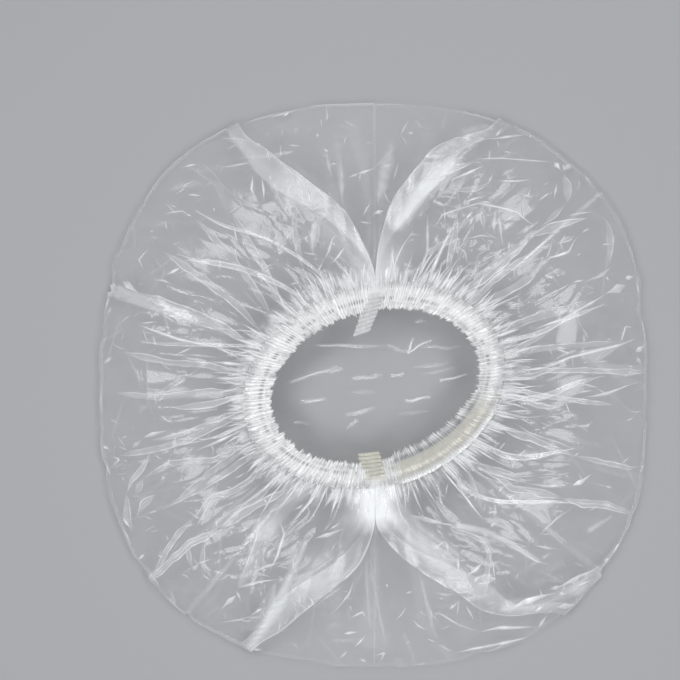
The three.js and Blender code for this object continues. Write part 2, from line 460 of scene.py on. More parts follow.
def facet_sheet(low, high, facet, long, tall, glint_share, seed):
    """A function for the height, painted glint and nearest edge of flat facets, long times as long along u.
    """
    rng = np.random.default_rng(seed)
    columns = int((high[0] - low[0]) / (facet * long)) + 2
    rows = int((high[1] - low[1]) / facet) + 2
    grid = bmesh.new()
    bmesh.ops.create_grid(grid, x_segments=columns, y_segments=rows, size=1)
    for vertex in grid.verts:
        vertex.co.x = (vertex.co.x + 1) / 2 * columns - 0.5 + rng.uniform(-0.45, 0.45)
        vertex.co.y = (vertex.co.y + 1) / 2 * rows - 0.5 + rng.uniform(-0.45, 0.45)
        vertex.co.z = rng.normal(0, tall)
    bmesh.ops.triangulate(grid, faces=grid.faces)
    tree = BVHTree.FromBMesh(grid)
    corners = np.array([[vertex.co[:2] for vertex in face.verts] for face in grid.faces])
    # A few facets at random get a painted glint: white that stands in for a lamp mirrored in a flat facet.
    painted_glint = rng.uniform(0.3, 1, len(corners)) * (rng.uniform(0, 1, len(corners)) < glint_share)
    grid.free()

    def sample(u, v):
        across, up = np.broadcast_arrays((u - low[0]) / (facet * long), (v - low[1]) / facet)
        flat = np.stack([across.ravel(), up.ravel()], axis=-1)
        hits = [tree.ray_cast(Vector((*point, 50)), DOWN) for point in flat]
        height = np.array([hit[0].z if hit[0] else 0.0 for hit in hits])
        face = np.array([hit[2] if hit[0] else 0 for hit in hits])
        edge = np.full(len(flat), np.inf)
        for corner in range(3):
            start = corners[face, corner]
            run = corners[face, (corner + 1) % 3] - start
            away = flat - start
            off_line = np.abs(run[:, 0] * away[:, 1] - run[:, 1] * away[:, 0]) / np.linalg.norm(run, axis=1)
            edge = np.minimum(edge, off_line * facet)
        return (values.reshape(across.shape) for values in (height, painted_glint[face], edge))

    return sample


# A fan is measured by the distance from the middle and the arc at this radius, a square by x and y
ARC = 140
FAN = ((60, -1.6 * math.pi * ARC), (245, 0.6 * math.pi * ARC))
SQUARE = ((-235, -235), (235, 235))

front_facets = facet_sheet(*FAN, facet=7, long=5, tall=0.2, glint_share=0.03, seed=71)
broad_facets = facet_sheet(*FAN, facet=19, long=3, tall=0.7, glint_share=0.0, seed=72)
crushed_facets = facet_sheet(*SQUARE, facet=6.5, long=1.7, tall=0.45, glint_share=0.1, seed=73)
crown_facets = facet_sheet(*SQUARE, facet=8, long=6, tall=0.35, glint_share=0.0, seed=74)
print("four sheets of facets")

# %% Small creases and crushed places
CREASES = 150
CREASE_REACH = 225
FRONT_CREASE_SEED = 34
CROWN_CREASE_SEED = 64
# Middle, size and strength of each crushed place
CRUSHED = (
    (75, 118, 38, 0.9), (150, -163, 30, 0.9), (-205, -65, 24, 0.8), (-120, -125, 34, 0.5),
    (-70, 120, 34, 0.5), (120, 50, 30, 0.4), (75, -140, 30, 0.7), (205, 25, 18, 0.7),
    (-85, -120, 24, 0.5), (-190, 60, 30, 0.6),
)


def creases(x, y, seed):
    """Height and whiteness of the small creases at these points: straight ridges with flat sides. The
    whiteness is a painted highlight along each crest.
    """
    rng = np.random.default_rng(seed)
    height, white = np.zeros_like(x), np.zeros_like(x)
    for _ in range(CREASES):
        far = math.sqrt(rng.uniform(0.16, 0.98)) * CREASE_REACH
        angle = rng.uniform(-math.pi, math.pi)
        run = angle + rng.normal(0, 0.3 if far < 150 else 0.9)
        length = rng.uniform(5, 30)
        tall = rng.uniform(0.15, 0.5) * rng.choice([-1, 1])
        width = rng.uniform(1.6, 5)
        shown = 0.9 * rng.uniform(0, 1) ** 2
        dx, dy = x - far * math.cos(angle), y - far * math.sin(angle)
        near = np.hypot(dx, dy) < length + width
        along = dx[near] * math.cos(run) + dy[near] * math.sin(run)
        beside = dy[near] * math.cos(run) - dx[near] * math.sin(run)
        fade = np.clip(1 - (along / length) ** 2, 0, 1)
        height[near] += tall * fade * np.clip(1 - np.abs(beside) / (width * fade + 0.5), 0, 1)
        white[near] = np.maximum(white[near], shown * fade * np.clip(1.3 - np.abs(beside), 0, 1))
    return height, white


def crushed_share(x, y):
    """How far the film is crushed at these points, from 0 to 1."""
    share = np.zeros_like(x)
    for middle_x, middle_y, size, strength in CRUSHED:
        share = np.maximum(share, strength * np.exp(-((np.hypot(x - middle_x, y - middle_y) / size) ** 4)))
    return share


print(CREASES, "small creases,", len(CRUSHED), "crushed places")

# %% [markdown]
# ## Folds that the cap kept from its packet
# The folds that catch the eye lie where they happened to fall, so they are listed one by one, like the route
# of a cord. Each is a chain of straight stretches, because thin film folds straight. A flap is a wide soft
# place where film lies loosely doubled, a ribbon is a narrow doubled strip with a bright edge at both sides,
# a veil is a soft strip without edges, and a line is a single sharp crease. Flaps are part of the film's own
# mesh.
# The others are finer than its grid, so further down they become narrow strips that lie on it.

# %% Folds as they lie
# Kind, how white, then in millimetres the width at the start and at the end and the points it passes
# The white of ribbon edges and lines is partly doubled film and partly a painted highlight along the crease;
# a wide line is a painted glint of a flat facet.
FOLDS = (
    # Upper side, to the right of the seam
    ("flap", 0.55, 26, 4, (20, 128), (38, 152), (55, 170), (72, 185), (84, 193)),
    ("ribbon", 0.6, 5, 3, (40, 158), (60, 168), (80, 175)),
    ("line", 0.8, 2.5, 1.5, (56, 158), (74, 166), (88, 172)),
    ("line", 0.6, 1.4, 1.4, (74, 176), (100, 177), (140, 175)),
    ("line", 0.9, 6, 2, (141, 175), (146, 168)),
    ("line", 0.9, 2, 6, (147, 168), (156, 174)),
    ("line", 0.7, 5, 1, (148, 174), (150, 167)),
    ("ribbon", 0.45, 6, 6, (147, 166), (151, 157), (150, 142)),
    ("ribbon", 0.55, 3, 3, (148, 141), (141, 134), (130, 124)),
    ("line", 0.7, 3.5, 1.5, (142, 157), (139, 144)),
    ("line", 0.7, 2, 2, (85, 192), (100, 194), (118, 197), (124, 199)),
    ("line", 0.8, 4, 2, (95, 195), (101, 203)),
    ("line", 0.9, 4, 1, (124, 199), (122, 194)),
    ("flap", 0.35, 10, 8, (72, 197), (90, 203)),
    ("line", 0.5, 5, 2, (99, 163), (111, 170)),
    ("ribbon", 0.55, 4, 3, (58, 151), (78, 152), (90, 157)),
    ("line", 0.6, 4, 1, (88, 157), (92, 165)),
    ("line", 0.6, 1.6, 1.6, (92, 159), (112, 159), (124, 161)),
    ("line", 0.8, 2, 1.4, (112, 148), (119, 147), (121, 154)),
    ("line", 0.8, 1.6, 1.4, (130, 146), (136, 150)),
    ("line", 0.9, 2.5, 2, (69, 142), (83, 146)),
    (
        "line", 0.65, 1.6, 1.6,
        (44, 120), (52, 132), (64, 136), (80, 141), (96, 138), (110, 134), (119, 126), (127, 124),
    ),
    ("line", 0.8, 2, 5, (93, 136), (91, 120)),
    ("line", 0.6, 4, 1.5, (96, 132), (97, 117), (99, 104)),
    ("line", 0.6, 1.5, 4, (97, 118), (104, 127)),
    ("line", 0.5, 2, 5, (108, 116), (122, 124)),
    ("line", 0.8, 3, 1.5, (75, 135), (69, 127)),
    ("line", 0.7, 2.5, 1.5, (76, 131), (72, 122)),
    ("ribbon", 0.5, 3, 3, (82, 136), (84, 121)),
    ("ribbon", 0.5, 4, 4, (63, 134), (61, 114), (57, 98), (55, 82)),
    ("ribbon", 0.5, 5, 4, (42, 103), (52, 109), (61, 113)),
    ("line", 0.5, 2, 1.5, (62, 108), (69, 103), (71, 94)),
    ("line", 0.5, 1.5, 1.5, (66, 113), (82, 116), (94, 114)),
    ("line", 0.5, 3, 2, (103, 112), (102, 103)),
    ("line", 0.5, 2, 2, (80, 102), (76, 87), (70, 80)),
    # Right side, above the middle
    ("ribbon", 0.75, 6, 8, (66, 70), (85, 85), (100, 98), (120, 115)),
    ("ribbon", 0.7, 8, 2, (120, 115), (140, 124), (155, 128), (168, 131)),
    ("ribbon", 0.65, 4, 3, (72, 62), (90, 80), (108, 94), (123, 104)),
    ("ribbon", 0.6, 6, 5, (76, 54), (90, 66), (108, 76), (120, 84), (128, 94)),
    ("line", 0.85, 2, 2.5, (128, 93), (136, 99), (150, 104), (154, 111), (159, 117)),
    ("ribbon", 0.6, 3, 3, (140, 110), (156, 116)),
    ("line", 0.5, 2, 2, (138, 113), (134, 102), (130, 95)),
    ("line", 0.55, 1.5, 1.5, (145, 131), (158, 134), (174, 136)),
    ("ribbon", 0.45, 5, 4, (180, 132), (184, 122), (184, 105), (182, 93)),
    ("line", 0.75, 4, 3, (183, 91), (174, 85), (162, 80)),
    ("line", 0.6, 2.5, 1.5, (162, 82), (152, 80)),
    ("ribbon", 0.45, 5, 6, (86, 41), (110, 48), (130, 55), (150, 60), (166, 66)),
    ("line", 0.75, 1.6, 2.5, (118, 42), (145, 52), (165, 63), (180, 71)),
    ("line", 0.7, 3, 11, (178, 71), (196, 78)),
    ("line", 0.9, 6, 2, (196, 84), (204, 85)),
    ("ribbon", 0.55, 3, 3, (98, 22), (115, 32), (138, 44)),
    ("ribbon", 0.45, 4, 3, (100, 24), (120, 28), (150, 31), (192, 34)),
    ("line", 0.75, 2, 3, (105, 11), (130, 14), (150, 22), (175, 28), (192, 32), (206, 37)),
    ("ribbon", 0.6, 3, 4, (98, 4), (120, 8), (132, 12), (160, 12), (216, 10)),
    ("line", 0.8, 2, 2, (191, 32), (196, 46), (203, 45)),
    ("line", 0.8, 6, 2, (204, 26), (215, 32)),
    ("line", 0.7, 5, 2, (205, 22), (210, 15)),
    # Right side, below the middle
    ("ribbon", 0.6, 3, 3, (98, 2), (120, -6), (140, -9), (160, -12), (186, -15)),
    ("ribbon", 0.55, 4, 2, (98, -10), (112, -10), (124, -15), (148, -18)),
    ("line", 0.6, 2, 2, (98, -20), (115, -19), (123, -19)),
    ("line", 0.85, 4, 2, (162, -9), (180, -6), (195, -1), (208, 3)),
    ("line", 0.6, 2, 2, (150, 0), (158, 2), (175, -2)),
    ("ribbon", 0.65, 5, 4, (92, -28), (108, -37), (120, -40), (135, -47), (155, -54)),
    ("ribbon", 0.65, 4, 2, (155, -54), (180, -60), (200, -65), (212, -64)),
    ("line", 0.5, 1.5, 1.5, (105, -27), (118, -36), (140, -43), (152, -48), (156, -42)),
    ("line", 0.9, 2, 2, (208, -70), (212, -63), (214, -74)),
    ("line", 0.6, 1.5, 1.5, (192, -62), (200, -56)),
    ("ribbon", 0.65, 4, 6, (72, -58), (88, -64), (102, -68), (118, -75)),
    ("line", 0.6, 3, 2, (118, -75), (130, -77), (150, -77)),
    ("line", 0.95, 6, 1.5, (152, -77), (160, -74), (169, -68)),
    ("ribbon", 0.6, 3, 6, (78, -62), (95, -70), (105, -79), (122, -81), (145, -87)),
    ("ribbon", 0.65, 6, 4, (145, -87), (160, -91), (180, -93), (200, -100), (205, -106)),
    ("line", 0.8, 5, 3, (178, -92), (188, -96)),
    ("line", 0.55, 1.6, 1.6, (124, -118), (140, -103), (155, -93)),
    ("line", 0.5, 1.4, 1.4, (130, -113), (146, -97)),
    ("line", 0.55, 1.6, 1.6, (103, -97), (122, -84)),
    ("line", 0.85, 5, 2, (89, -109), (93, -103)),
    ("line", 0.7, 2, 2, (86, -98), (94, -95)),
    ("line", 0.8, 2, 2, (109, -55), (115, -49)),
    ("line", 0.6, 1.6, 1.6, (94, -50), (101, -42)),
    ("line", 0.55, 3, 2, (123, -123), (142, -127)),
    ("flap", 0.3, 8, 4, (168, -112), (184, -103)),
    ("ribbon", 0.4, 3, 2, (60, -62), (70, -85), (75, -95)),
    ("ribbon", 0.4, 3, 2, (70, -60), (78, -84), (84, -100)),
    ("line", 0.4, 2, 2, (48, -70), (50, -88), (56, -100)),
    # Lower side, to the right of the seam
    ("flap", 0.4, 26, 34, (10, -96), (30, -116), (52, -132)),
    ("flap", 0.14, 34, 14, (52, -132), (72, -150), (95, -167)),
    ("line", 0.75, 5, 3, (26, -99), (45, -104), (64, -108)),
    ("ribbon", 0.5, 3, 3, (60, -109), (72, -114), (82, -119), (88, -130), (86, -150), (84, -167)),
    ("flap", 0.5, 9, 6, (64, -108), (85, -112), (105, -122), (125, -135)),
    ("line", 0.5, 3, 1, (105, -123), (125, -136), (140, -140)),
    ("line", 0.75, 2, 3, (42, -128), (52, -120), (56, -119)),
    ("line", 0.6, 4, 2, (55, -119), (56, -131)),
    ("line", 0.85, 4, 2, (64, -142), (64, -130)),
    ("line", 0.85, 3, 3, (70, -147), (78, -141), (84, -135)),
    ("line", 0.7, 3, 1.5, (76, -152), (80, -146)),
    ("line", 0.5, 1.6, 1.6, (84, -123), (91, -138), (94, -160)),
    ("line", 0.8, 2, 2, (52, -149), (56, -147)),
    ("flap", 0.4, 16, 22, (104, -172), (135, -170), (160, -162)),
    ("flap", 0.45, 18, 8, (160, -160), (180, -144), (192, -128)),
    ("line", 0.95, 6, 5, (107, -173), (125, -166), (142, -162)),
    ("line", 0.95, 4, 3, (143, -158), (160, -150), (179, -142)),
    ("line", 0.8, 3, 2, (158, -158), (171, -153)),
    ("line", 0.95, 6, 5, (181, -137), (187, -141)),
    ("line", 0.85, 3, 4, (187, -133), (195, -124)),
    ("line", 0.9, 5, 5, (143, -174), (161, -173)),
    ("line", 0.85, 4, 2, (148, -183), (158, -178)),
    ("line", 0.85, 3, 2, (125, -177), (132, -172)),
    ("line", 0.85, 4, 2, (129, -191), (136, -180)),
    ("line", 0.7, 2, 2, (101, -166), (107, -178)),
    ("line", 0.8, 3, 3, (144, -162), (149, -164)),
    ("line", 0.5, 2, 2, (42, -176), (52, -178), (66, -187), (82, -193)),
    ("line", 0.7, 3, 2, (82, -193), (96, -190), (130, -190)),
    ("line", 0.85, 2, 3, (62, -211), (80, -207), (100, -203), (122, -199)),
    ("line", 0.7, 4, 2, (58, -174), (65, -168)),
    ("line", 0.6, 2, 2, (70, -170), (78, -184)),
    ("veil", 0.2, 4, 4, (33, -141), (38, -160), (44, -185), (50, -203)),
    ("line", 0.5, 1.6, 1.6, (50, -203), (62, -210)),
    ("veil", 0.15, 3, 3, (-7, -130), (-6, -160), (-4, -193)),
    ("veil", 0.17, 3, 2.5, (-4, -132), (1, -165), (7, -195), (9, -206)),
    ("line", 0.7, 2, 2, (0, -213), (8, -210), (4, -219)),
    # Lower side, to the left of the seam
    ("flap", 0.14, 34, 42, (-22, -112), (-45, -146)),
    ("flap", 0.1, 42, 14, (-45, -146), (-75, -178), (-95, -205)),
    ("flap", 0.5, 12, 12, (-57, -122), (-66, -150), (-78, -175), (-97, -205)),
    ("line", 0.6, 2, 2, (-15, -146), (-20, -162), (-28, -172), (-34, -178)),
    ("line", 0.4, 1.6, 1.6, (-20, -152), (-36, -163), (-52, -176)),
    ("line", 0.95, 4, 3, (-46, -117), (-35, -114), (-23, -109)),
    ("line", 0.7, 2, 2, (-36, -111), (-27, -105)),
    ("flap", 0.4, 16, 24, (-52, -78), (-72, -92), (-86, -112)),
    ("flap", 0.3, 24, 8, (-86, -112), (-94, -136), (-104, -154)),
    ("line", 0.6, 2.5, 2, (-88, -98), (-92, -118), (-98, -135), (-105, -152)),
    ("line", 0.75, 3, 2, (-74, -103), (-70, -114), (-75, -130), (-83, -145)),
    ("line", 0.5, 2, 2, (-66, -107), (-58, -102)),
    ("line", 0.55, 2.5, 2.5, (-100, -146), (-85, -140), (-68, -134)),
    ("line", 0.8, 4, 2, (-107, -157), (-90, -152), (-72, -149)),
    ("line", 0.95, 2, 6, (-121, -176), (-108, -163)),
    ("line", 0.6, 2, 2, (-108, -158), (-104, -168)),
    ("line", 0.85, 1.5, 4, (-97, -179), (-87, -173)),
    ("line", 0.5, 1.6, 1.6, (-125, -187), (-105, -183), (-92, -178)),
    ("ribbon", 0.7, 3, 7, (-66, -72), (-72, -82), (-88, -90), (-105, -100), (-120, -111)),
    ("ribbon", 0.75, 7, 3, (-120, -111), (-143, -122), (-160, -138), (-172, -150), (-181, -160)),
    ("ribbon", 0.5, 3, 4, (-76, -72), (-90, -86), (-105, -94), (-120, -106), (-132, -116)),
    ("ribbon", 0.6, 3, 5, (-84, -56), (-96, -72), (-108, -80), (-125, -86), (-140, -102)),
    ("ribbon", 0.65, 5, 2, (-140, -102), (-152, -114), (-163, -130), (-176, -156)),
    ("line", 0.5, 2, 2, (-122, -84), (-132, -98), (-140, -112)),
    ("ribbon", 0.5, 5, 2, (-90, -50), (-105, -60), (-120, -70), (-135, -80), (-155, -90), (-166, -97)),
    ("ribbon", 0.45, 5, 3, (-94, -43), (-110, -55), (-125, -65), (-140, -78), (-158, -93)),
    ("ribbon", 0.5, 3, 4, (-105, -48), (-125, -57), (-145, -58), (-158, -60), (-180, -72)),
    ("ribbon", 0.45, 4, 4, (-180, -72), (-187, -86)),
    ("line", 0.85, 2, 3, (-100, -33), (-115, -40), (-138, -50)),
    ("ribbon", 0.55, 3, 5, (-104, -24), (-125, -32), (-145, -42), (-165, -48), (-200, -55)),
    ("ribbon", 0.5, 2, 3, (-104, -16), (-122, -26), (-150, -38), (-175, -43)),
    ("line", 0.95, 4, 3, (-180, -40), (-160, -34)),
    ("ribbon", 0.8, 4, 4, (-174, -52), (-182, -66), (-190, -75), (-194, -84)),
    ("ribbon", 0.5, 6, 5, (-194, -84), (-194, -105), (-190, -116)),
    ("ribbon", 0.95, 4, 5, (-186, -102), (-180, -92), (-170, -84)),
    ("line", 0.6, 2, 2, (-178, -100), (-168, -97)),
    ("line", 0.8, 3, 3, (-198, -104), (-192, -112)),
    ("line", 0.9, 3, 2, (-186, -138), (-180, -132)),
    ("ribbon", 0.45, 3, 3, (-146, -122), (-144, -135), (-142, -142)),
    ("line", 0.8, 5, 2, (-142, -144), (-136, -138)),
    ("ribbon", 0.5, 3, 3, (-132, -120), (-134, -138), (-126, -151)),
    ("ribbon", 0.4, 3, 3, (-160, -160), (-158, -175), (-156, -182)),
    ("line", 0.9, 3, 2, (-101, -210), (-88, -208)),
    ("line", 0.9, 4, 2, (-24, -194), (-12, -193)),
    ("line", 0.8, 2, 2, (-20, -182), (-10, -177), (-6, -182)),
    ("line", 0.75, 2, 2, (-16, -206), (-7, -196)),
    ("line", 0.7, 2, 2, (-12, -215), (-6, -218)),
    ("line", 0.7, 3, 2, (-215, -48), (-208, -50)),
    ("line", 0.7, 3, 1.5, (-206, -56), (-200, -58), (-204, -64)),
    ("line", 0.6, 2, 2, (-213, -60), (-207, -72)),
    # Upper side, to the left of the seam
    ("flap", 0.2, 22, 44, (-12, 98), (-38, 124), (-62, 150)),
    ("flap", 0.14, 44, 20, (-62, 150), (-84, 172), (-108, 196)),
    ("veil", 0.2, 5, 4, (-27, 184), (-26, 160), (-25, 138)),
    ("veil", 0.25, 3, 3, (-38, 184), (-36, 170), (-33, 162)),
    ("line", 0.8, 2, 2, (-40, 185), (-36, 182)),
    ("line", 0.85, 4, 1, (-13, 165), (0, 170)),
    ("line", 0.7, 1, 4, (-21, 162), (-13, 165)),
    ("line", 0.55, 1.6, 1.6, (-38, 221), (-37, 209), (-41, 207)),
    ("line", 0.9, 2.5, 1.5, (-72, 211), (-66, 216)),
    ("line", 0.75, 2.5, 1.5, (-52, 151), (-50, 139)),
    ("veil", 0.4, 6, 4, (-44, 130), (-48, 118), (-49, 102)),
    ("ribbon", 0.6, 4, 3, (-60, 124), (-68, 116), (-73, 108)),
    ("ribbon", 0.45, 4, 3, (-62, 143), (-62, 120), (-58, 100), (-54, 86)),
    ("ribbon", 0.65, 4, 6, (-42, 128), (-46, 118), (-48, 104)),
    ("line", 0.9, 2, 2.5, (-34, 94), (-28, 100), (-23, 108)),
    ("line", 0.6, 2.5, 2, (-40, 96), (-36, 104), (-33, 114), (-28, 118)),
    ("line", 0.75, 2, 2, (-88, 164), (-86, 150), (-86, 142)),
    ("line", 0.75, 3, 2, (-95, 163), (-96, 152), (-92, 146)),
    ("line", 0.6, 1.6, 1.6, (-120, 170), (-95, 174)),
    ("ribbon", 0.4, 3, 3, (-122, 194), (-108, 192), (-96, 190)),
    ("veil", 0.22, 9, 11, (2, 140), (6, 160), (14, 190)),
    ("veil", 0.2, 4, 4, (20, 142), (30, 160), (42, 182)),
    ("line", 0.4, 2, 2, (20, 196), (27, 208)),
    ("line", 0.85, 3, 4, (-4, 133), (7, 136)),
    ("line", 0.6, 2, 2, (-13, 127), (-2, 126)),
    # Left side, above the middle
    ("ribbon", 0.5, 4, 3, (-102, -6), (-130, -4), (-168, -9), (-204, -6)),
    ("ribbon", 0.55, 4, 4, (-100, 8), (-128, 16), (-160, 18), (-196, 26)),
    ("line", 0.7, 2, 2.5, (-98, 18), (-122, 30), (-152, 36), (-186, 48)),
    ("ribbon", 0.6, 5, 6, (-94, 30), (-118, 46), (-146, 58), (-184, 72)),
    ("line", 0.8, 3, 8, (-184, 72), (-198, 82)),
    ("ribbon", 0.55, 4, 5, (-88, 42), (-106, 62), (-132, 82), (-164, 104)),
    ("ribbon", 0.5, 4, 4, (-80, 54), (-96, 80), (-114, 104), (-140, 130)),
    ("line", 0.6, 1.6, 1.6, (-140, 130), (-150, 136), (-168, 134)),
    ("ribbon", 0.45, 4, 4, (-72, 62), (-86, 92), (-98, 112), (-112, 136)),
    ("line", 0.8, 3, 2, (-150, 92), (-162, 86)),
    ("line", 0.7, 2, 2, (-140, 30), (-154, 24)),
    ("line", 0.8, 5, 2, (-206, 22), (-214, 16)),
    ("line", 0.6, 2, 2, (-176, 108), (-184, 98), (-180, 90)),
)
print(len(FOLDS), "folds laid by hand")

# %% Film that lies loosely doubled
FLAP_STEP = 3


def along_route(points, step):
    """Places along a chain of straight stretches, their direction, how far along they lie, and its length."""
    route = np.array(points, float)
    passed = np.concatenate([[0], np.cumsum(np.linalg.norm(np.diff(route, axis=0), axis=1))])
    along = np.linspace(0, passed[-1], max(int(passed[-1] / step), 6))
    place = np.stack([np.interp(along, passed, route[:, axis]) for axis in (0, 1)], axis=-1)
    run = np.gradient(place, axis=0)
    run /= np.linalg.norm(run, axis=1, keepdims=True)
    return place, run, along, passed[-1]


def flaps(x, y):
    """How milky the film is where it lies loosely doubled."""
    milk = np.zeros_like(x)
    for kind, strength, first, last, *points in FOLDS:
        if kind == "flap":
            place, run, along, length = along_route(points, FLAP_STEP)
            room = max(first, last) / 2
            low, high = place.min(axis=0) - room, place.max(axis=0) + room
            near = (x > low[0]) & (x < high[0]) & (y > low[1]) & (y < high[1])
            away = np.stack([x[near], y[near]], axis=-1)[:, None, :] - place
            share = np.linalg.norm(away, axis=-1) / (mix(first, last, along / length) / 2)
            nearest = share.argmin(axis=1)
            off = away[np.arange(len(nearest)), nearest]
            beside = off[:, 0] * run[nearest, 1] - off[:, 1] * run[nearest, 0]
            streak = 0.75 + 0.55 * lattice_noise(beside / 2.2 + first, along[nearest] / 26, 54)
            milk[near] = 1 - (1 - milk[near]) * (1 - strength * streak * smooth(1.0, 0.3, share.min(axis=1)))
    return milk


folded_length = sum(along_route(fold[4:], FLAP_STEP)[-1] for fold in FOLDS)
print("the folds are", round(folded_length * MM, 1), "m long in all")

# %% [markdown]
# ## From knots to a front
# The front film stays high near the hem and falls away towards the outline, as the solids do. Main folds, the
# deep tuck over each seam, pleats, ruffles next to the hem, facets, creases and the listed folds are added
# to that height one after another. At the outline the film turns over in a tight fold, whose line is a chain
# of short straight stretches.

# %% Outline and height of a front
RIM_MARKS = 90
RIM_SEED = 40
FOLD_COUNT = 20
FOLD_DEPTH = 2.4
FILM_FALL = 2.4
FILM_ROUND = 0.8
FILM_BULGE = 6
TUCK_DEPTH = 11.0
TUCK_FLOOR = 1.5
TUCK_NECK = 6.0
TUCK_SPREAD = 55.0
SOFT_EDGE_HEIGHT = 4.5
SOFT_EDGE_TURN = 3.0
LOWEST = 0.3


def rim_radius(theta):
    """The outline as film keeps it: short straight stretches, here and there drawn in by a fold."""
    rng = np.random.default_rng(RIM_SEED)
    marks = np.sort(rng.uniform(-np.pi, np.pi, RIM_MARKS))
    drawn = rng.exponential(1.0, RIM_MARKS).clip(0, 4)
    turn = (theta + np.pi) % (2 * np.pi) - np.pi
    return outline_radius(theta) - np.interp(turn, marks, drawn, period=2 * np.pi)


def front_height(share, start_height):
    """Height of the front film before its folds."""
    fall = (1 - np.clip(share, 0, 1) ** FILM_FALL) ** FILM_ROUND
    bulge = FILM_BULGE * np.sin(np.pi * share) * (1 - share)
    return SOFT_EDGE_HEIGHT + (start_height - SOFT_EDGE_HEIGHT) * fall + bulge


def fold_swing(share):
    """How high the main folds stand."""
    return FOLD_DEPTH * np.sin(np.pi * mix(0.15, 1, share))


def folded_height(x, theta, under, rim):
    """Height of a front with its main folds and the tuck over each seam."""
    start_radius, start_height = film_start(theta)
    height = front_height(share_out, start_height)
    below_hem = np.minimum(reach, 0) * (rim - start_radius) * np.tan(hem_tilt(theta))
    height += below_hem - 1.5 * smooth(0.0, -0.03, reach)
    crest = 2 * (0.5 - 0.5 * np.cos(FOLD_COUNT * theta)) ** 2.5 - 0.7
    swell = 0.6 + 0.4 * lattice_noise(theta * 4, share_out * 2, 7)
    height += fold_swing(share_out) * crest * swell
    arch = np.sin(np.pi * share_out)
    tuck = TUCK_DEPTH * arch * np.exp(-((x / mix(TUCK_NECK, TUCK_SPREAD, share_out)) ** 2))
    return height - under * (tuck + TUCK_FLOOR * arch)


test_rim = rim_radius(turn)
print("film outline", test_rim.min().round(1), "to", test_rim.max().round(1), "mm from the middle")

# %% Wrinkles of a front
GATHERS = 64
PATCH_SIZE = 42
RUNG_LENGTH = 1.3


def front_wrinkles(seed, x, y, angle, theta, radius, under):
    """Height of the wrinkles, and how crushed, doubled and white the film is. The white is painted highlight
    along creases and painted glints on facets.
    """
    gather_swing = 1.6 * lattice_noise(angle * 22, share_out * 7, seed)
    gather = 1 - 2 * np.abs(np.sin(GATHERS * angle + gather_swing)) ** 0.7
    ruffle = gather * smooth(0.16, 0.0, reach) * (1 - under)
    patch = 0.25 + 0.75 * smooth(0.0, 0.5, lattice_noise(x / PATCH_SIZE + 9, y / PATCH_SIZE + 9, 8))
    crush = crushed_share(x, y)
    ridges, white = creases(x, y, FRONT_CREASE_SEED)
    milk = flaps(x, y)
    long_height, long_glint, long_edge = front_facets(radius, theta * ARC)
    broad_height, *_ = broad_facets(radius, theta * ARC)
    small_height, small_glint, small_edge = crushed_facets(x, y)

    # Painted glints of a few facets and painted highlight along facet edges and creases
    long_white = 0.4 * long_glint + 0.08 * np.clip(1 - long_edge / 0.7, 0, 1)
    small_white = 0.1 * small_glint + 0.03 * np.clip(1.2 - small_edge, 0, 1)
    white = np.maximum(0.3 * white, patch * long_white)
    white = np.maximum(white, smooth(0.25, 0.6, crush) * small_white)

    wrinkle = patch * long_height + broad_height + ridges + crush * small_height
    rungs = np.sin(y / RUNG_LENGTH + 5 * lattice_noise(x / 14, y / 30, 19)) * smooth(0.1, 0.6, reach)
    wrinkle = mix(wrinkle, 0.2 * wrinkle + 0.06 * rungs, under) + 0.5 * milk
    wrinkle = wrinkle * smooth(0.02, 0.16, reach) + 0.5 * ruffle
    wrinkle *= smooth(-0.02, 0.04, reach)
    return wrinkle, {"crush": np.maximum(crush, 0.5 * patch), "folded": milk, "white": white}


# %% Points of one front


def turned_over(radius, height, rim, rise):
    """Radius and height with the wrinkles laid on and the film turned over at the outline."""
    tilt = np.clip((reach - TURN_FROM) / (TURN_END - TURN_FROM), 0, 1) * np.pi
    radius = radius + rise * np.sin(tilt)
    height = height + rise * np.cos(tilt)
    on_edge = reach[:, 0] > 1
    bend = (reach[on_edge] - 1) / (TURN_END - 1) * np.pi / 2
    edge_row = np.flatnonzero(on_edge)[0] - 1
    lean = (radius[edge_row] - rim[edge_row]) * np.cos(bend)
    radius[on_edge] = rim[on_edge] + lean - SOFT_EDGE_TURN * (1 - np.cos(bend))
    height[on_edge] = height[edge_row] * (1 - np.sin(bend)) + LOWEST * np.sin(bend)
    return radius, height


def front_points(half):
    side = SIDES[half]
    angle, lift, under, ply = (curve_through(knots, STEPS) for knots in fold_knots(half))
    under = np.clip(under, 0, 1)
    theta = -np.pi / 2 + side * angle
    rim = rim_radius(theta)
    radius = mix(film_start(theta)[0], rim, np.minimum(reach, 1))
    x, y = round_side(side, radius, angle)
    height = folded_height(x, theta, under, rim)
    wrinkle, facts = front_wrinkles(SEEDS[half], x, y, angle, theta, radius, under)
    rise = lift + wrinkle * np.where(reach <= 1, 1, 0.5)
    radius, height = turned_over(radius, height, rim, rise)
    x, y = round_side(side, radius, angle)
    points = np.stack([x, y, np.maximum(height, LOWEST)], axis=-1)
    return points, {"angle": angle, "under": under, "ply": ply, **facts}
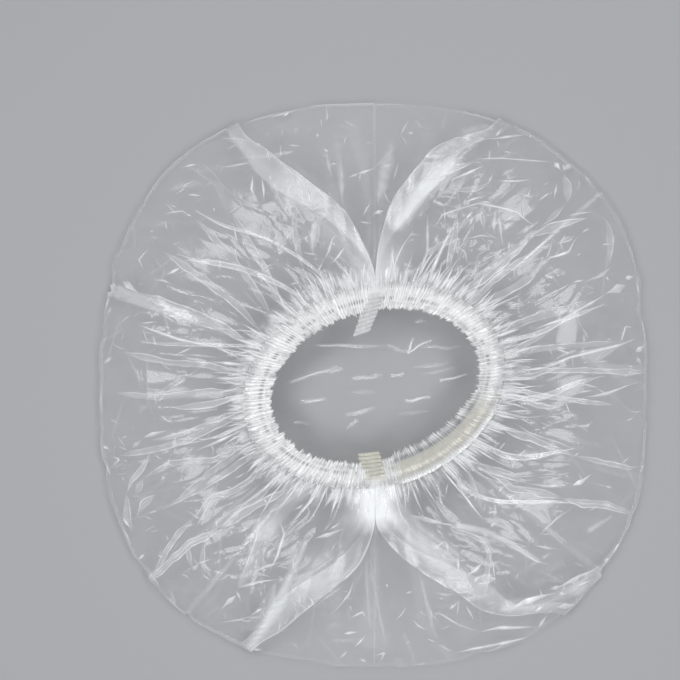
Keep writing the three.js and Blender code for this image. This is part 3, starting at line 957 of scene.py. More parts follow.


# %% [markdown]
# ## Crown
# Under the front lies the crown, flat on the table. It is the one layer that shows through the mouth, so its
# creases there are listed one by one, mostly from left to right, as the cap was folded in that direction for
# its packet.

# %% Creases that show through the mouth
# Ends of a crease in millimetres, its height and how white it is, a painted highlight along its ridge
CROWN_CREASES = (
    ((-46, 31.4), (9, 31.4), 1.0, 0.5), ((9, 31.4), (26, 25), 0.9, 0.45), ((26, 25), (31, 37), 1.6, 0.9),
    ((26, 25), (40, 34), 1.4, 0.8), ((31, 30), (46, 35), 1.2, 0.7), ((35, 29.9), (68.8, 29.9), 0.8, 0.35),
    ((-69.6, 1.6), (-26.3, 14.9), 1.1, 0.6), ((-38, 10), (-24, 13), 0.9, 0.5),
    ((-17.7, 3.9), (6.7, 7.9), 0.9, 0.5), ((13, 7.1), (24, 8.6), 0.8, 0.45),
    ((-58.6, -13.4), (-36.5, -11), 0.8, 0.45), ((-19.3, -6.3), (1.2, -6.3), 0.6, 0.25),
    ((24, -13.4), (44.4, -8.6), 1.3, 0.9), ((-23.2, -24.4), (1.2, -18), 0.9, 0.5),
    ((51.5, 2.4), (74.3, 9.4), 1.4, 0.9), ((31.8, 50.3), (40.5, 50.3), 0.9, 0.5),
    ((-22.4, -33.8), (-12.2, -28.3), 0.8, 0.4), ((30, 14), (60, 17), 0.6, 0.25),
    ((-64.8, -30.7), (-51.5, -30.7), 0.8, 0.4), ((18, -24), (45, -20), 0.6, 0.25),
    ((38, 8), (66, 14), 0.6, 0.25),
)
CROWN_CREASE_HALF = 1.7


def crown_lines(x, y):
    """Height and whiteness of the creases that show through the mouth. The whiteness is a painted highlight
    along each ridge.
    """
    height, white = np.zeros_like(x), np.zeros_like(x)
    for (start_x, start_y), (end_x, end_y), tall, strength in CROWN_CREASES:
        run = np.array([end_x - start_x, end_y - start_y])
        length = np.linalg.norm(run)
        run = run / length
        along = ((x - start_x) * run[0] + (y - start_y) * run[1]) / length
        beside = (y - start_y) * run[0] - (x - start_x) * run[1]
        beside = beside + 0.8 * lattice_noise(along * 3 + start_x, along * 0, 12)
        fade = np.clip(4 * along * (1 - along), 0, 1) ** 0.5
        ridge = np.clip(1 - np.abs(beside) / CROWN_CREASE_HALF, 0, 1) * fade
        height = np.maximum(height, tall * ridge)
        white = np.maximum(white, 1.7 * strength * ridge**1.2)
    return height, white


print(len(CROWN_CREASES), "creases of the crown laid by hand")

# %% Points of one crown
CROWN_ROWS = 180
CROWN_COLUMNS = 400


def crown_points(half):
    side = SIDES[half]
    angle = np.linspace(0, np.pi, CROWN_COLUMNS + 1)[None, :]
    inward = np.linspace(1, 0, CROWN_ROWS + 1)[:, None]
    theta = -np.pi / 2 + side * angle
    radius = (rim_radius(theta) - SOFT_EDGE_TURN + 0.5) * inward
    x, y = round_side(side, radius, angle)
    lines, white = crown_lines(x, y)
    ridges, pale = creases(y, x, CROWN_CREASE_SEED)
    facets, *_ = crown_facets(x, y)
    rumple = np.abs(facets) + 0.4 * np.abs(ridges)
    height = LOWEST + lines + rumple * smooth(1.0, 0.9, inward)
    return np.stack([x, y, height], axis=-1), np.maximum(white, 0.4 * pale * smooth(0.35, 0.5, inward))


print("each crown has", CROWN_ROWS, "rows and", CROWN_COLUMNS, "columns")

# %% [markdown]
# ## A sheet becomes a mesh
# bmesh makes the grid, and its vertices are then moved to the points above. How sharply the sheet turns at
# each vertex is stored on the mesh, because film whitens along its folds and the finish needs to know where
# they are. Part of that white is a painted highlight, the bright edge that a fold shows in the light.

# %% Grid to mesh


def turning(points):
    """How far the sheet turns round each vertex, in radians over three steps."""
    most = np.zeros(points.shape[:2])
    for axis in (0, 1):
        step = np.diff(points, axis=axis)
        step /= np.maximum(np.linalg.norm(step, axis=-1, keepdims=True), 1e-6)
        before, after = np.delete(step, -1, axis=axis), np.delete(step, 0, axis=axis)
        bend = np.arccos(np.clip((before * after).sum(-1), -1, 1))
        pad = [(0, 0), (0, 0)]
        pad[axis] = (2, 2)
        bend = np.pad(bend, pad)
        size = bend.shape[axis] - 2
        parts = [np.take(bend, range(offset, offset + size), axis=axis) for offset in range(3)]
        most = np.maximum(most, sum(parts))
    return most


def smooth_piece(name, mesh):
    """A smoothly shaded object of this mesh."""
    mesh.polygons.foreach_set("use_smooth", np.ones(len(mesh.polygons), bool))
    piece = bpy.data.objects.new(name, mesh)
    bpy.context.collection.objects.link(piece)
    return piece


def sheet_piece(name, points, paints, merge=0.0):
    """A grid of these points as an object, with numbers painted on its vertices."""
    rows, columns = points.shape[:2]
    grid = bmesh.new()
    bmesh.ops.create_grid(grid, x_segments=columns - 1, y_segments=rows - 1, size=1)
    mesh = bpy.data.meshes.new(name)
    grid.to_mesh(mesh)
    mesh.vertices.foreach_set("co", (points * MM).astype(np.float32).ravel())
    for label, values in paints.items():
        layer = mesh.attributes.new(label, "FLOAT", "POINT")
        spread = np.broadcast_to(values, (rows, columns))
        layer.data.foreach_set("value", spread.astype(np.float32).ravel())
    grid.free()
    if merge:
        grid = bmesh.new()
        grid.from_mesh(mesh)
        bmesh.ops.remove_doubles(grid, verts=grid.verts, dist=merge * MM)
        grid.to_mesh(mesh)
        grid.free()
    print(name, len(mesh.vertices), "vertices,", 2 * len(mesh.polygons), "triangles")
    return smooth_piece(name, mesh)


# %% [markdown]
# ## Clear film
# Film lets most light straight through, mirrors a little of it at a steep look and much of it at a shallow
# one, and turns milky where it is folded or gathered. One shader does all three: Alpha is how much the film
# covers in all, Metallic is the mirrored share of that, and what is left is white. That white also carries
# painted highlights and glints on folds, creases and facets. Fine bump adds the crinkle between the creases
# of the mesh.

# %% Film finish
FILM_TINT = (0.93, 0.95, 0.96)
# Tint of the strips: white of doubled film and painted highlight
DOUBLED_AND_HIGHLIGHT_TINT = (0.95, 0.96, 0.97)
CRINKLE_HEIGHT = 0.3 * MM


def feed_cover(shader, whitened, mirrored):
    """Film that is partly white, partly a mirror and otherwise clear."""
    cover = 1 - (1 - whitened) * (1 - mirrored)
    feed(shader, "Alpha", cover)
    feed(shader, "Metallic", mirrored / cover)


def film_finish(name, veil, tint, rough, mirror):
    finish, shader, place = new_finish(name)
    shader.inputs["Base Color"].default_value = (*tint, 1)
    facing = place.node("ShaderNodeLayerWeight", output="Facing", Blend=0.5)
    fold, milk, crush, calm = (painted(place, label) for label in ("fold", "milk", "crush", "calm"))
    cloud = spots(place, 45, 3)
    mirrored = mirror * (1 + 8 * facing**4) * (1 - 0.85 * calm)
    # The fold paint is white laid on folds, creases and facets: partly doubled film, partly painted highlight
    # and glints.
    whitened = (veil * (0.2 + 1.6 * cloud) + fold * 0.65 + milk * (0.6 + 0.8 * cloud)).clamp(0, 0.95)
    feed_cover(shader, whitened, mirrored)
    feed(shader, "Roughness", rough + 0.06 * spots(place, 160, 2))
    cells = place.node("ShaderNodeTexVoronoi", {"feature": "DISTANCE_TO_EDGE"}, Vector=place, Scale=80.0)
    crinkle = (cells * 11).clamp(0, 1) * (0.1 + 0.15 * crush) + 0.05 * spots(place, 220, 3)
    feed(shader, "Normal", bumped(crinkle, 1.0, CRINKLE_HEIGHT))
    return finish


clear_film = film_finish("clear_film", veil=0.06, tint=FILM_TINT, rough=0.1, mirror=0.045)
weld_film = film_finish("weld_film", veil=0.02, tint=FILM_TINT, rough=0.3, mirror=0.005)
print("finishes:", clear_film.name, "and", weld_film.name)

# %% Both fronts and both crowns


def front_paints(half, points, angle, under, ply, crush, folded, white):
    beside = np.abs(points[..., 0])
    streak = smooth(-0.2, 0.6, lattice_noise(angle * 150, share_out * 2, SEEDS[half] + 60))
    gather = 0.3 * smooth(0.12, 0.0, share_out) * (0.2 + 0.8 * streak)
    below = points[..., 1] < 0
    neck_half = np.where(below, 15 + 10 * share_out, 15 + 75 * share_out)
    upper_end = smooth(0.4, 0.04, share_out) * (1 - 0.7 * under)
    neck_end = np.where(below, smooth(0.26, 0.12, share_out), upper_end)
    neck = np.where(below, 0.95, 0.4) * np.exp(-((beside / neck_half) ** 2)) * neck_end
    ribbon = 0.15 * np.clip(ply, 0, 1) ** 4
    milk = np.clip(np.maximum(gather, 0.75 * folded) + neck + ribbon, 0, 1) * (reach < 1.02)
    uneven = 0.3 + 0.5 * smooth(-0.4, 0.4, lattice_noise(angle * 14, share_out * 9, 36))
    # White painted where the sheet turns sharply: partly doubled film, partly a painted highlight on the fold
    # edge
    fold = smooth(0.3, 1.5, turning(points)) * (1 - 0.8 * under) * (1 - 0.6 * crush) * uneven
    column = np.arange(angle.shape[1])
    for end, from_seam in (("lower", column), ("upper", column[::-1])):
        fold = fold * np.where(from_seam < 5 * STEPS, EDGE_WHITE[half, end], 1)
    # Painted highlight along creases and painted glints of facets
    fold = np.maximum(fold, white * (1 - 0.6 * under) * smooth(0.05, 0.2, reach) * smooth(1.05, 0.99, reach))
    theta = -np.pi / 2 + SIDES[half] * angle
    # A broken line of painted highlight along the outline, where the film turns over
    line = smooth(-0.1, 0.5, lattice_noise(theta * 13, theta * 0, 33)) * smooth(0.985, 1.0, reach)
    fold = np.maximum(fold, 0.5 * line * smooth(1.1, 1.02, reach))
    calm = np.clip(under + milk + 3 * folded, 0, 1)
    crinkled = np.clip(crush, 0, 1) * smooth(0.05, 0.2, reach)
    return {"fold": fold, "milk": milk, "crush": crinkled, "calm": calm}


fronts, crowns = {}, {}
for half in SIDES:
    points, facts = front_points(half)
    fronts[half] = sheet_piece(f"{half}_front_film", points, front_paints(half, points, **facts))
    points, white = crown_points(half)
    paints = {"fold": white, "milk": 0, "crush": 0.1}
    crowns[half] = sheet_piece(f"{half}_crown_film", points, paints, merge=0.01)
    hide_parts(*(f"{half}_{end}_front_panel" for end in ENDS))
    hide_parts(f"{half}_crown_panel")
    for piece in (fronts[half], crowns[half]):
        piece.data.materials.append(clear_film)

# %% [markdown]
# ## Gathered hem
# The edge of each panel is folded over the elastic and drawn up into fine pleats, about one every 2 mm. It is
# two layers with the elastic between them. A grid again does it: its columns run along the mouth, eight to a
# pleat, and its rows go from the film over the top to the free edge and back underneath. At the lower right
# the band is rolled over and lies smooth, so that the elastic shows through it between a crinkled frill and a
# bright rim.

# %% Pleats of the hem
HEM_PLEATS = 118
HEM_STEPS = 8
HEM_ROWS = 17
HEM_SEED = 100
SEAM_RADIUS = 70
HEM_GAP = 4
CALM_FROM = math.radians(-82)
CALM_TO = math.radians(2)

hem_top = np.linspace(TAIL_WIDTH, -FRILL_WIDTH, HEM_ROWS)
hem_out = np.concatenate([hem_top, hem_top[::-1]])[:, None]
hem_layer = np.concatenate([np.ones(HEM_ROWS), -np.ones(HEM_ROWS)])[:, None]


def hem_columns(seed):
    """Angle from the lower seam, number of the pleat and its height, for each column."""
    rng = np.random.default_rng(seed)
    pitch = np.cumsum(np.concatenate([[0], rng.uniform(0.4, 1.6, HEM_PLEATS)]))
    marks = pitch / pitch[-1]
    column = np.arange(HEM_PLEATS * HEM_STEPS + 1)
    along = np.interp(column / HEM_STEPS, np.arange(HEM_PLEATS + 1), marks)
    first = math.asin(HEM_GAP / SEAM_RADIUS)
    angle = (first + (np.pi - 2 * first) * along)[None, :]
    phase = (column / HEM_STEPS)[None, :]
    tall = np.interp(phase, np.arange(HEM_PLEATS + 1), rng.uniform(0.5, 1.25, HEM_PLEATS + 1))
    return angle, phase, tall


print(HEM_PLEATS, "pleats in each hem")

# %% Hem points
RUFFLES = 36
CLUMPS = 78
ELASTIC_ROOM = 0.62


def hem_points(half):
    side, seed, out, layer = SIDES[half], SEEDS[half] + HEM_SEED, hem_out, hem_layer
    angle, phase, tall = hem_columns(seed)
    theta = -np.pi / 2 + side * angle
    calm = smooth(CALM_FROM, CALM_FROM + 0.2, theta) * smooth(CALM_TO, CALM_TO - 0.35, theta) * (side > 0)
    strip = calm * smooth(-5.5, -3, out)
    rim = calm * smooth(7, 9.5, out)
    gap = 0.3 + 0.6 * smooth(6, 3, np.abs(out))
    wild = smooth(0.5, 8, np.abs(out))
    quiet = 1 - 0.72 * strip

    wander = 0.45 * lattice_noise(phase * 0.9, out / 6, seed + 1)
    wander = wander + 0.3 * lattice_noise(phase * 0.3, out / 9, seed + 2)
    wave = 1 - 2 * np.abs(np.sin(np.pi * phase + wander * mix(0.5, 1.5, wild))) ** 0.75
    ruffle = np.cos(RUFFLES * angle + 1.5 * lattice_noise(angle * 9, out / 20, seed + 3))
    clump = np.cos(CLUMPS * angle + 2 * lattice_noise(angle * 16, out / 20, seed + 5))
    off = layer * gap + quiet * (mix(0.45, 0.95, wild) * tall * wave + wild * (0.8 * ruffle + 0.4 * clump))
    uneven = 0.7 + 0.6 * lattice_noise(phase / 3, phase * 0, seed + 6)
    off = off + uneven * rim * np.sin(np.pi * np.clip((out - 6) / 7, 0, 1))
    drawn_in = smooth(-0.5, 0.4, lattice_noise(phase * 0.6, phase * 0, seed + 7))
    # pinch dips the film at the elastic between pleats; the same mask paints dark dots of shade there
    pinch = np.exp(-(((out + 1) / 1.2) ** 2)) * smooth(0.3, -0.6, wave) * drawn_in * (1 - calm)
    off = off - 0.5 * pinch * layer
    off = np.where((np.abs(out) < 5) & (layer * off < ELASTIC_ROOM), ELASTIC_ROOM * layer, off)

    ragged = 1.3 * tall * lattice_noise(phase * 1.3, phase * 0, seed + 4) + 0.8 * wave * tall
    reach_in = out - ragged * smooth(-5, -10, out) + quiet * ragged * smooth(8, 12, out)
    reach_in = reach_in - 4 * calm * smooth(-3, -10, out) + 2.5 * calm * smooth(2, 12, out)
    reach_in = reach_in + (0.8 * clump + 0.6 * ruffle) * smooth(-4, -10, out)
    radius, height = hem_section(theta, reach_in, off)
    sway = quiet * 0.3 * (np.pi / HEM_PLEATS) * np.cos(2 * np.pi * phase + wander) * wild
    x, y = round_side(side, radius, angle + sway)

    # Painted shade: darker in the pleat valleys, in the pinched dots at the elastic and in a line at the
    # inner edge of the beige strip, where the frill shades it
    shade = smooth(0.3, -1.0, wave) * mix(mix(0.4, 0.7, calm), 0.3, strip)
    shadow_beside_strip = 0.7 * calm * np.exp(-(((out + 5) / 1.2) ** 2))
    crevice_shade = np.clip(shade + pinch + shadow_beside_strip, 0, 1) * (layer > 0)
    tail = smooth(6, 12, out) * (1 - calm)
    return np.stack([x, y, height], axis=-1), {"crevice_shade": crevice_shade, "strip": strip * (1 - rim), "tail": tail}


# %% Hem finish and both hems
HEM_WHITE = (0.97, 0.975, 0.975, 1)
HEM_SHADOW = (0.34, 0.35, 0.37, 1)
STRIP_BEIGE = (0.55, 0.535, 0.475, 1)


def hem_finish(name):
    finish, shader, place = new_finish(name)
    facing = place.node("ShaderNodeLayerWeight", output="Facing", Blend=0.5)
    crevice_shade, strip, tail = (painted(place, label) for label in ("crevice_shade", "strip", "tail"))
    cloud = spots(place, 260, 3)
    mirrored = 0.1 + 0.4 * facing**4
    whitened = ((0.8 + 0.25 * cloud + 0.1 * strip) * (1 - 0.65 * tail)).clamp(0, 0.97)
    feed_cover(shader, whitened, mirrored)
    # Painted shade: pleat valleys and pinched dots darkened towards HEM_SHADOW
    shade = blended(crevice_shade * 0.9, HEM_WHITE, HEM_SHADOW)
    feed(shader, "Base Color", blended((strip * (0.5 + 0.6 * cloud)).clamp(0, 1), shade, STRIP_BEIGE))
    feed(shader, "Roughness", 0.16 + 0.12 * cloud)
    feed(shader, "Normal", bumped(spots(place, 900, 2), 0.3, CRINKLE_HEIGHT))
    return finish


gathered_film = hem_finish("gathered_film")
hems = {}
for half in SIDES:
    piece = sheet_piece(f"{half}_gathers", *hem_points(half))
    piece.data.materials.append(gathered_film)
    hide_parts(f"{half}_hem")
    hems[half] = piece

# %% [markdown]
# ## Elastic
# A flat rubber strip runs in the hem. It shows only where the hem lies smooth, as a beige band under the
# film. It is a grid too, seven rows that go once round its flat section, and the first and last are merged.

# %% Elastic strips
ELASTIC_WIDTH = 8.0
ELASTIC_THICKNESS = 0.8
ELASTIC_GAP = 6
ELASTIC_STEPS = 240
RUBBER_DARK = (0.62, 0.55, 0.42, 1)
RUBBER_PALE = (0.78, 0.72, 0.6, 1)


def rubber_finish():
    finish, shader, place = new_finish("elastic_rubber")
    grain = spots(place, 500, 3)
    feed(shader, "Base Color", blended(grain, RUBBER_DARK, RUBBER_PALE))
    feed(shader, "Roughness", 0.55 + 0.2 * grain)
    feed(shader, "Normal", bumped(grain, 0.4, 0.2 * MM))
    return finish


elastic_rubber = rubber_finish()
elastics = {}
first = math.asin(ELASTIC_GAP / SEAM_RADIUS)
width, thick = ELASTIC_WIDTH / 2, ELASTIC_THICKNESS / 2
out = np.array([width, width, 0, -width, -width, 0, width])[:, None]
off = np.array([-thick, thick, thick * 0.8, thick, -thick, -thick * 0.8, -thick])[:, None]
for half, side in SIDES.items():
    angle = np.linspace(first, np.pi - first, ELASTIC_STEPS + 1)[None, :]
    theta = -np.pi / 2 + side * angle
    radius, height = hem_section(theta, out, off + 0.12 * np.sin(angle * 160))
    points = np.stack([*round_side(side, radius, angle), height], axis=-1)
    piece = sheet_piece(f"{half}_elastic_strip", points, {}, merge=0.001)
    piece.data.materials.append(elastic_rubber)
    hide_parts(f"{half}_elastic")
    elastics[half] = piece

# %% [markdown]
# ## Strips of doubled film and painted highlights
# A fold that lies flat is a narrow strip of doubled film with pointed ends. Its white is partly the doubled
# film and partly a painted highlight along its edges; a single crease is a line of painted highlight, and a
# wide crease a painted glint of a flat facet. Painted on the grid such a strip would be as coarse as the
# grid, so each is a little sheet of its own, laid on the film by looking straight down for the film's height.
# Besides the folds of the list there are small creases all over, and strokes that run out of the gathers.

# %% Section of a strip
STRIP_EDGE = 0.5
SHARD_WIDTH = 3.4


def strip_section(kind, half_width, rng):
    """Places across a strip in millimetres, how white they are and how high, from its half widths."""
    half_width = half_width[:, None]
    if kind == "ribbon":
        # A ribbon's two edges are white: partly doubled film, partly painted highlight where the film turns.
        bright, dim = rng.permutation((1.0, rng.uniform(0.4, 0.8)))
        white = (0, bright, bright, 0.35, 0.3, rng.uniform(0.3, 0.8), 0.3, 0.35, dim, dim, 0)
        tall = (0, 0.4, 0.4, 0.4, 0.3, 0.4, 0.3, 0.4, 0.4, 0.4, 0)
        side = np.array((-1, -1, -1, -1, -0.4, -0.1, 0.4, 1, 1, 1, 1))
        extra = STRIP_EDGE * np.array((-1.3, -0.5, 0.5, 1.3, 0, 0, 0, -1.3, -0.5, 0.5, 1.3))
        return side * half_width + extra * np.minimum(1, half_width), white, tall
    if kind == "line" and half_width.max() > SHARD_WIDTH / 2:
        # A wide line is a shard: a painted glint of a flat facet, brighter at one side.
        side = np.array((-1, -0.85, -0.3, 0.3, 0.85, 1))
        return side * half_width, (0, 1, 0.9, 0.7, 0.6, 0), (0, 0.3, 0.5, 0.6, 0.5, 0)
    # A narrow line: painted highlight along a crease.
    side = np.array((-1, -0.6, -0.25, 0.25, 0.6, 1))
    return side * half_width * 1.2, (0, 0.5, 1, 1, 0.5, 0), (0, 0.3, 0.6, 0.6, 0.3, 0)


# %% One strip on the film
STRIP_STEP = 1.2
STRIP_ABOVE = 0.2
STRIP_TAPER = 16
STRIP_INSIDE = 1.2


def fold_strip(fold, film, rng):
    """Points and whiteness of one strip, laid on the film."""
    kind, strength, first, last, *points = fold
    place, run, along, length = along_route(points, STRIP_STEP)
    ends = np.clip(np.minimum(along, length - along) / min(0.4 * length, STRIP_TAPER), 0, 1) ** 1.1
    uneven = 1 + 0.25 * lattice_noise(along / 6, along * 0 + rng.uniform(0, 90), 51)
    if kind == "line" and max(first, last) > SHARD_WIDTH:
        peak = 0.65 if last > first else 0.35
        ends = np.interp(along / length, (0, peak, 1), (0, 1, 0))
        uneven = 1
    width = np.maximum(mix(first, last, along / length) * ends * uneven, 0.15)
    beside = np.stack([run[:, 1], -run[:, 0]], axis=-1)
    place = place + beside * (0.25 * lattice_noise(along / 9, along * 0 + rng.uniform(0, 90), 52))[:, None]
    across, white, tall = strip_section(kind, width / 2, rng)
    flat = place[:, None, :] + beside[:, None, :] * across[..., None]
    inside = rim_radius(np.arctan2(flat[..., 1], flat[..., 0])) - STRIP_INSIDE
    flat = flat * np.minimum(1, inside / np.hypot(flat[..., 0], flat[..., 1]))[..., None]
    hits = [film.ray_cast(Vector((*point, 100 * MM)), DOWN)[0] for point in (flat * MM).reshape(-1, 2)]
    height = np.array([hit.z if hit else 0.0 for hit in hits]).reshape(flat.shape[:2]) / MM
    height = np.maximum(height, height.mean(axis=1, keepdims=True))
    height = height + STRIP_ABOVE + np.array(tall) * ends[:, None]
    cloudy = 0.85 + 0.3 * lattice_noise(along / 5, along * 0 + first, 53)
    shown = 1.5 * strength * (0.5 + 0.5 * ends) * cloudy
    return np.concatenate([flat, height[..., None]], axis=-1), np.array(white) * shown[:, None]


# %% Small folds by chance
STROKES = 230
SCRATCHES = 150
RIM_LINES = 14
CRUSHED_INSIDE = 3


def crumpled_folds(side, rng):
    """Small bright facets and creases in the crushed places of one half: painted glints and painted
    highlight.
    """
    made = []
    for middle_x, middle_y, size, strength in CRUSHED:
        if side * middle_x > 0:
            for number in range(int(size * strength * 0.7)):
                far, turn = size * math.sqrt(rng.uniform(0, 1)), rng.uniform(0, 2 * math.pi)
                x, y = middle_x + far * math.cos(turn), middle_y + far * math.sin(turn)
                run, length = rng.uniform(0, math.pi), rng.uniform(5, 15)
                width = rng.uniform(SHARD_WIDTH, 6) if number % 3 == 0 else rng.uniform(0.9, 1.6)
                end = (x + length * math.cos(run), y + length * math.sin(run))
                shown = strength * rng.uniform(0.2, 0.9)
                rim = float(rim_radius(math.atan2(y, x)))
                if max(math.hypot(x, y), math.hypot(*end)) < rim - CRUSHED_INSIDE:
                    made.append(("line", shown, width, 0.3 * width, (x, y), end))
    return made


def small_folds(half, rng):
    """Strokes that run out of the gathers, creases all over and bright stretches of the outline, their white
    partly the film's own and partly a painted highlight.
    """
    made = []
    for number in range(STROKES + SCRATCHES + RIM_LINES):
        angle = rng.uniform(0.04, math.pi - 0.04)
        theta = -math.pi / 2 + SIDES[half] * angle
        start, rim = float(film_start(theta)[0]), float(rim_radius(theta))
        if number < STROKES:
            far, run = start - rng.uniform(2, 9), theta + rng.normal(0, 0.12)
            length = 10 + rng.exponential(10)
            strength, width = rng.uniform(0.3, 0.95), 0.8 + rng.exponential(0.9)
        elif number < STROKES + SCRATCHES:
            far = mix(start + 12, rim - 14, rng.uniform(0, 1) ** 0.8)
            run, length = theta + rng.normal(0, 0.8), rng.uniform(4, 16)
            strength, width = rng.uniform(0.2, 0.8), rng.uniform(0.9, 2.0)
        else:
            far, run, length = rim - 1.5, theta + math.pi / 2, rng.uniform(12, 34)
            strength, width = rng.uniform(0.3, 0.7), 1.2
        x, y = far * math.cos(theta), far * math.sin(theta)
        bend = run + rng.normal(0, 0.2)
        middle = (x + 0.5 * length * math.cos(run), y + 0.5 * length * math.sin(run))
        end = (middle[0] + 0.5 * length * math.cos(bend), middle[1] + 0.5 * length * math.sin(bend))
        made.append(("line", strength, width, width, (x, y), middle, end))
    return made


print(STROKES + SCRATCHES + RIM_LINES, "small folds on each side, and those of the crushed places")

# %% Both sets of strips
STRIP_SEED = 200


def strips_piece(name, strips):
    """Many narrow sheets as one object."""
    whole = bmesh.new()
    layer = whole.verts.layers.float.new("fold")
    for points, white in strips:
        rows, columns = white.shape
        made = bmesh.ops.create_grid(whole, x_segments=columns - 1, y_segments=rows - 1, size=1)
        for vertex, place, value in zip(made["verts"], (points * MM).reshape(-1, 3), white.ravel()):
            vertex.co = place
            vertex[layer] = value
    mesh = bpy.data.meshes.new(name)
    whole.to_mesh(mesh)
    whole.free()
    print(name, len(strips), "strips,", 2 * len(mesh.polygons), "triangles")
    return smooth_piece(name, mesh)


# Finish of the strips: white of doubled film and painted highlights and glints
doubled_film_and_highlights = film_finish("doubled_film_and_highlights", veil=0.0, tint=DOUBLED_AND_HIGHLIGHT_TINT, rough=0.2, mirror=0.01)
folds = {}
for half, side in SIDES.items():
    rng = np.random.default_rng(SEEDS[half] + STRIP_SEED)
    top = bmesh.new()
    top.from_mesh(fronts[half].data)
    top.from_mesh(hems[half].data)
    film = BVHTree.FromBMesh(top)
    top.free()
    laid = [fold for fold in FOLDS if fold[0] != "flap" and side * np.mean(fold[4:], axis=0)[0] > 0]
    laid += small_folds(half, rng) + crumpled_folds(side, rng)
    strips = [fold_strip(fold, film, rng) for fold in laid]
    folds[half] = strips_piece(f"{half}_flat_folds", strips)
    folds[half].data.materials.append(doubled_film_and_highlights)

# %% [markdown]
# ## Seam tabs
# Where the two hems meet they are lapped and welded together, and the weld leaves a short ladder of ribs on a
# tongue that hangs into the mouth. Each tongue is a flat closed loop, drawn along the hem's own section. Its
# outer end widens into the smooth neck of film that comes out from under the hems.

# %% Ribbed tongues
TABS = {
    "upper": {
        "end": 1, "tip": -26.0, "ribs": 13, "half": 7.6, "lean": (6.0, -11.0), "tint": (0.92, 0.93, 0.93),
    },
    "lower": {
        "end": -1, "tip": -18.0, "ribs": 10, "half": 8.4, "lean": (3.0, -5.0), "tint": (0.88, 0.86, 0.74),
    },
}
TAB_ROWS = 160
TAB_COLUMNS = 48
TAB_UNDER_HEM = 3


def tab_points(end, tip, ribs, half, lean):
    share = np.linspace(0, 1, TAB_ROWS + 1)[:, None]
    round_about = np.linspace(0, 2 * np.pi, TAB_COLUMNS + 1)[None, :]
    out = mix(TAIL_WIDTH + TAB_UNDER_HEM, tip, share)
    beside = np.cos(round_about)
    bow = 0.012 * beside + 0.008 * lattice_noise(beside * 3 + 5, share * 9, 90 + end)
    rib = np.abs(np.sin(np.pi * ribs * (share + bow))) ** 0.7
    ribbed = smooth(0.2, 0.38, share)
    rib = mix(1, rib, ribbed)
    closing = np.sqrt(np.clip(1 - smooth(0.95, 1, share), 0, 1)) * np.sqrt(smooth(0, 0.05, share))
    ragged = 0.6 * lattice_noise(share * 24, np.sign(beside) * 3, 70 + end)
    half_width = half * mix(1.2, 0.95, smooth(0, 0.5, share)) * mix(0.85, 1, closing)
    half_width = half_width - 0.4 * (1 - rib) + ragged
    across = half_width * np.sign(beside) * np.abs(beside) ** 0.8
    top = np.sin(round_about) > 0
    thick = np.where(top, 0.9 + 1.1 * rib, 1.3) * np.abs(np.sin(round_about)) ** 0.6 * closing
    off = np.where(top, thick, -thick) + 0.5 * np.sin(across / 3.2) * closing
    spread = hem_section(end * np.pi / 2, out, 0)[0]
    angle = end * np.pi / 2 - end * (across + mix(lean[0], lean[1], share)) / spread
    radius, height = hem_section(angle, out, off)
    spine = 0.6 + 0.4 * smooth(0.1, 0.35, np.abs(beside))
    # Painted shade in the grooves between the ribs, on the top of the tongue
    crevice_shade = (1 - rib) * spine * top * smooth(0, 0.1, np.sin(round_about))
    paints = {"crevice_shade": crevice_shade, "neck": 1 - ribbed, "tail": smooth(0.4, 0.05, share)}
    return np.stack([radius * np.cos(angle), radius * np.sin(angle), height], axis=-1), paints


print("ribs:", ", ".join(f"{facts['ribs']} on the {name} tab" for name, facts in TABS.items()))

# %% Tab finish and both tabs
NECK_WHITE = (0.96, 0.965, 0.965, 1)
RIB_SHADOW = 0.3


def tab_finish(name, tint):
    finish, shader, place = new_finish(name)
    crevice_shade, neck, tail = (painted(place, label) for label in ("crevice_shade", "neck", "tail"))
    cloud = spots(place, 320, 3)
    dark = (*(RIB_SHADOW * part for part in tint), 1)
    # The ribs are darkened towards RIB_SHADOW: painted shade between them
    ribbed = blended(crevice_shade * 0.9, (*tint, 1), dark)
    feed(shader, "Base Color", blended(neck, ribbed, NECK_WHITE))
    milky = 0.22 + 0.35 * cloud + 0.6 * crevice_shade + 0.4 * neck
    feed(shader, "Alpha", (milky * (1 - 0.9 * tail)).clamp(0, 0.97))
    feed(shader, "Roughness", 0.22 + 0.15 * cloud)
    feed(shader, "Normal", bumped(spots(place, 700, 2), 0.4, CRINKLE_HEIGHT))
    return finish


for name, facts in TABS.items():
    points, paints = tab_points(*(facts[key] for key in ("end", "tip", "ribs", "half", "lean")))
    piece = sheet_piece(f"{name}_tab", points, paints, merge=0.001)
    piece.data.materials.append(tab_finish(f"{name}_tab_film", facts["tint"]))
    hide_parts(f"{name}_seam_tab")
    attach(piece, "seam")

# %% [markdown]
# ## Side welds
# A narrow weld joins the panels at each side, from the tab down the bottom of the tuck and a little way round
# under the crown. It is clear like the film and only a bead thick, with the cross marks of the welding bar.

# %% Path of a weld
WELD_UNDER = 20.0
WELD_INSIDE = 1.2
WELD_LOWEST = 0.9
# How many points lie over the front, round the outline and under the crown
WELD_POINTS = (90, 14, 20)


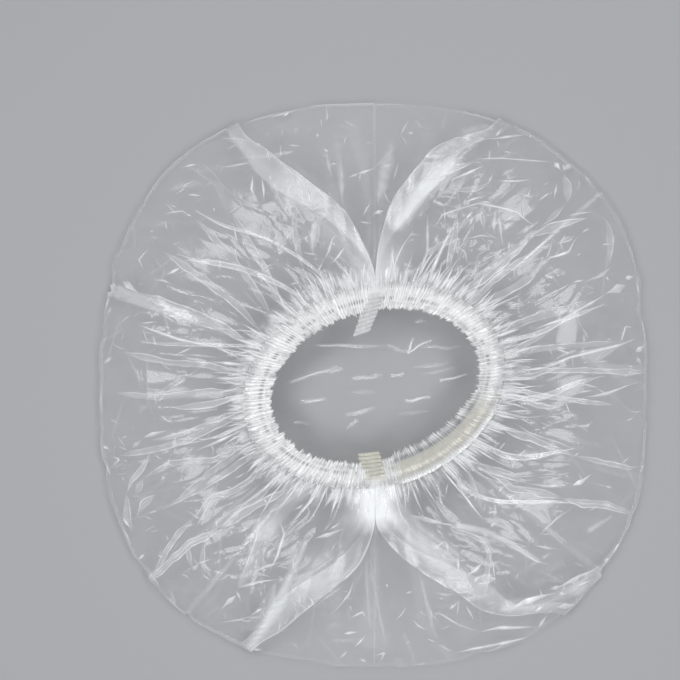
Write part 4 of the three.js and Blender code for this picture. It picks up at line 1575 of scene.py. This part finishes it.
def weld_path(end):
    """Points of a weld in Y and Z, from its tab to its end under the crown."""
    over, round_edge, below = WELD_POINTS
    theta = end * np.pi / 2
    share = np.linspace(0, 1, over)
    start_radius, start_height = film_start(theta)
    rim = outline_radius(theta) - WELD_INSIDE
    radius = mix(start_radius, rim, share)
    height = front_height(share, start_height) - (TUCK_DEPTH + TUCK_FLOOR) * np.sin(np.pi * share)
    height -= fold_swing(share) * 0.4
    bend = np.linspace(0, np.pi / 2, round_edge)[1:]
    radius = np.concatenate([radius, rim - SOFT_EDGE_TURN * (1 - np.cos(bend))])
    height = np.concatenate([height, SOFT_EDGE_HEIGHT * (1 - np.sin(bend)) + WELD_LOWEST * np.sin(bend)])
    inward = np.linspace(0, WELD_UNDER, below)[1:]
    radius = np.concatenate([radius, radius[-1] - inward])
    height = np.concatenate([height, np.full(len(inward), WELD_LOWEST)])
    return np.stack([end * radius, height], axis=-1)


# %% Both welds
WELD_HALF = 1.2

for name, end in (("upper", 1), ("lower", -1)):
    path = weld_path(end)
    along = np.arange(len(path))[:, None]
    across = np.array([-1, -0.6, 0, 0.6, 1, 0.6, 0, -0.6, -1])[None, :] * WELD_HALF
    bead = np.array([0, 0.2, 0.25, 0.2, 0, -0.05, -0.05, -0.05, 0])[None, :]
    bead = bead * (0.9 + 0.1 * np.cos(along * 2.1))
    away = np.gradient(path, axis=0)
    away = end * np.stack([-away[:, 1], away[:, 0]], axis=-1) / np.linalg.norm(away, axis=1, keepdims=True)
    weld = np.stack([
        np.broadcast_to(across, bead.shape),
        path[:, :1] + away[:, :1] * bead,
        path[:, 1:] + away[:, 1:] * bead,
    ], axis=-1)
    piece = sheet_piece(f"{name}_weld", weld, {"fold": 0.1 * bead, "milk": 0, "crush": 0}, merge=0.001)
    piece.data.materials.append(weld_film)
    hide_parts(f"{name}_seam_weld")
    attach(piece, "seam")

# %% [markdown]
# ## Baked transforms
# Pulling the mouth apart moves each side of the cap away from the seam, and film, hem and elastic stretch
# between the two. Here the film, folds, crown, hem and elastic of each half only have their transforms baked
# into their meshes.

for half, side in SIDES.items():
    for piece in (fronts[half], folds[half], crowns[half], hems[half], elastics[half]):
        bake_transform(piece)
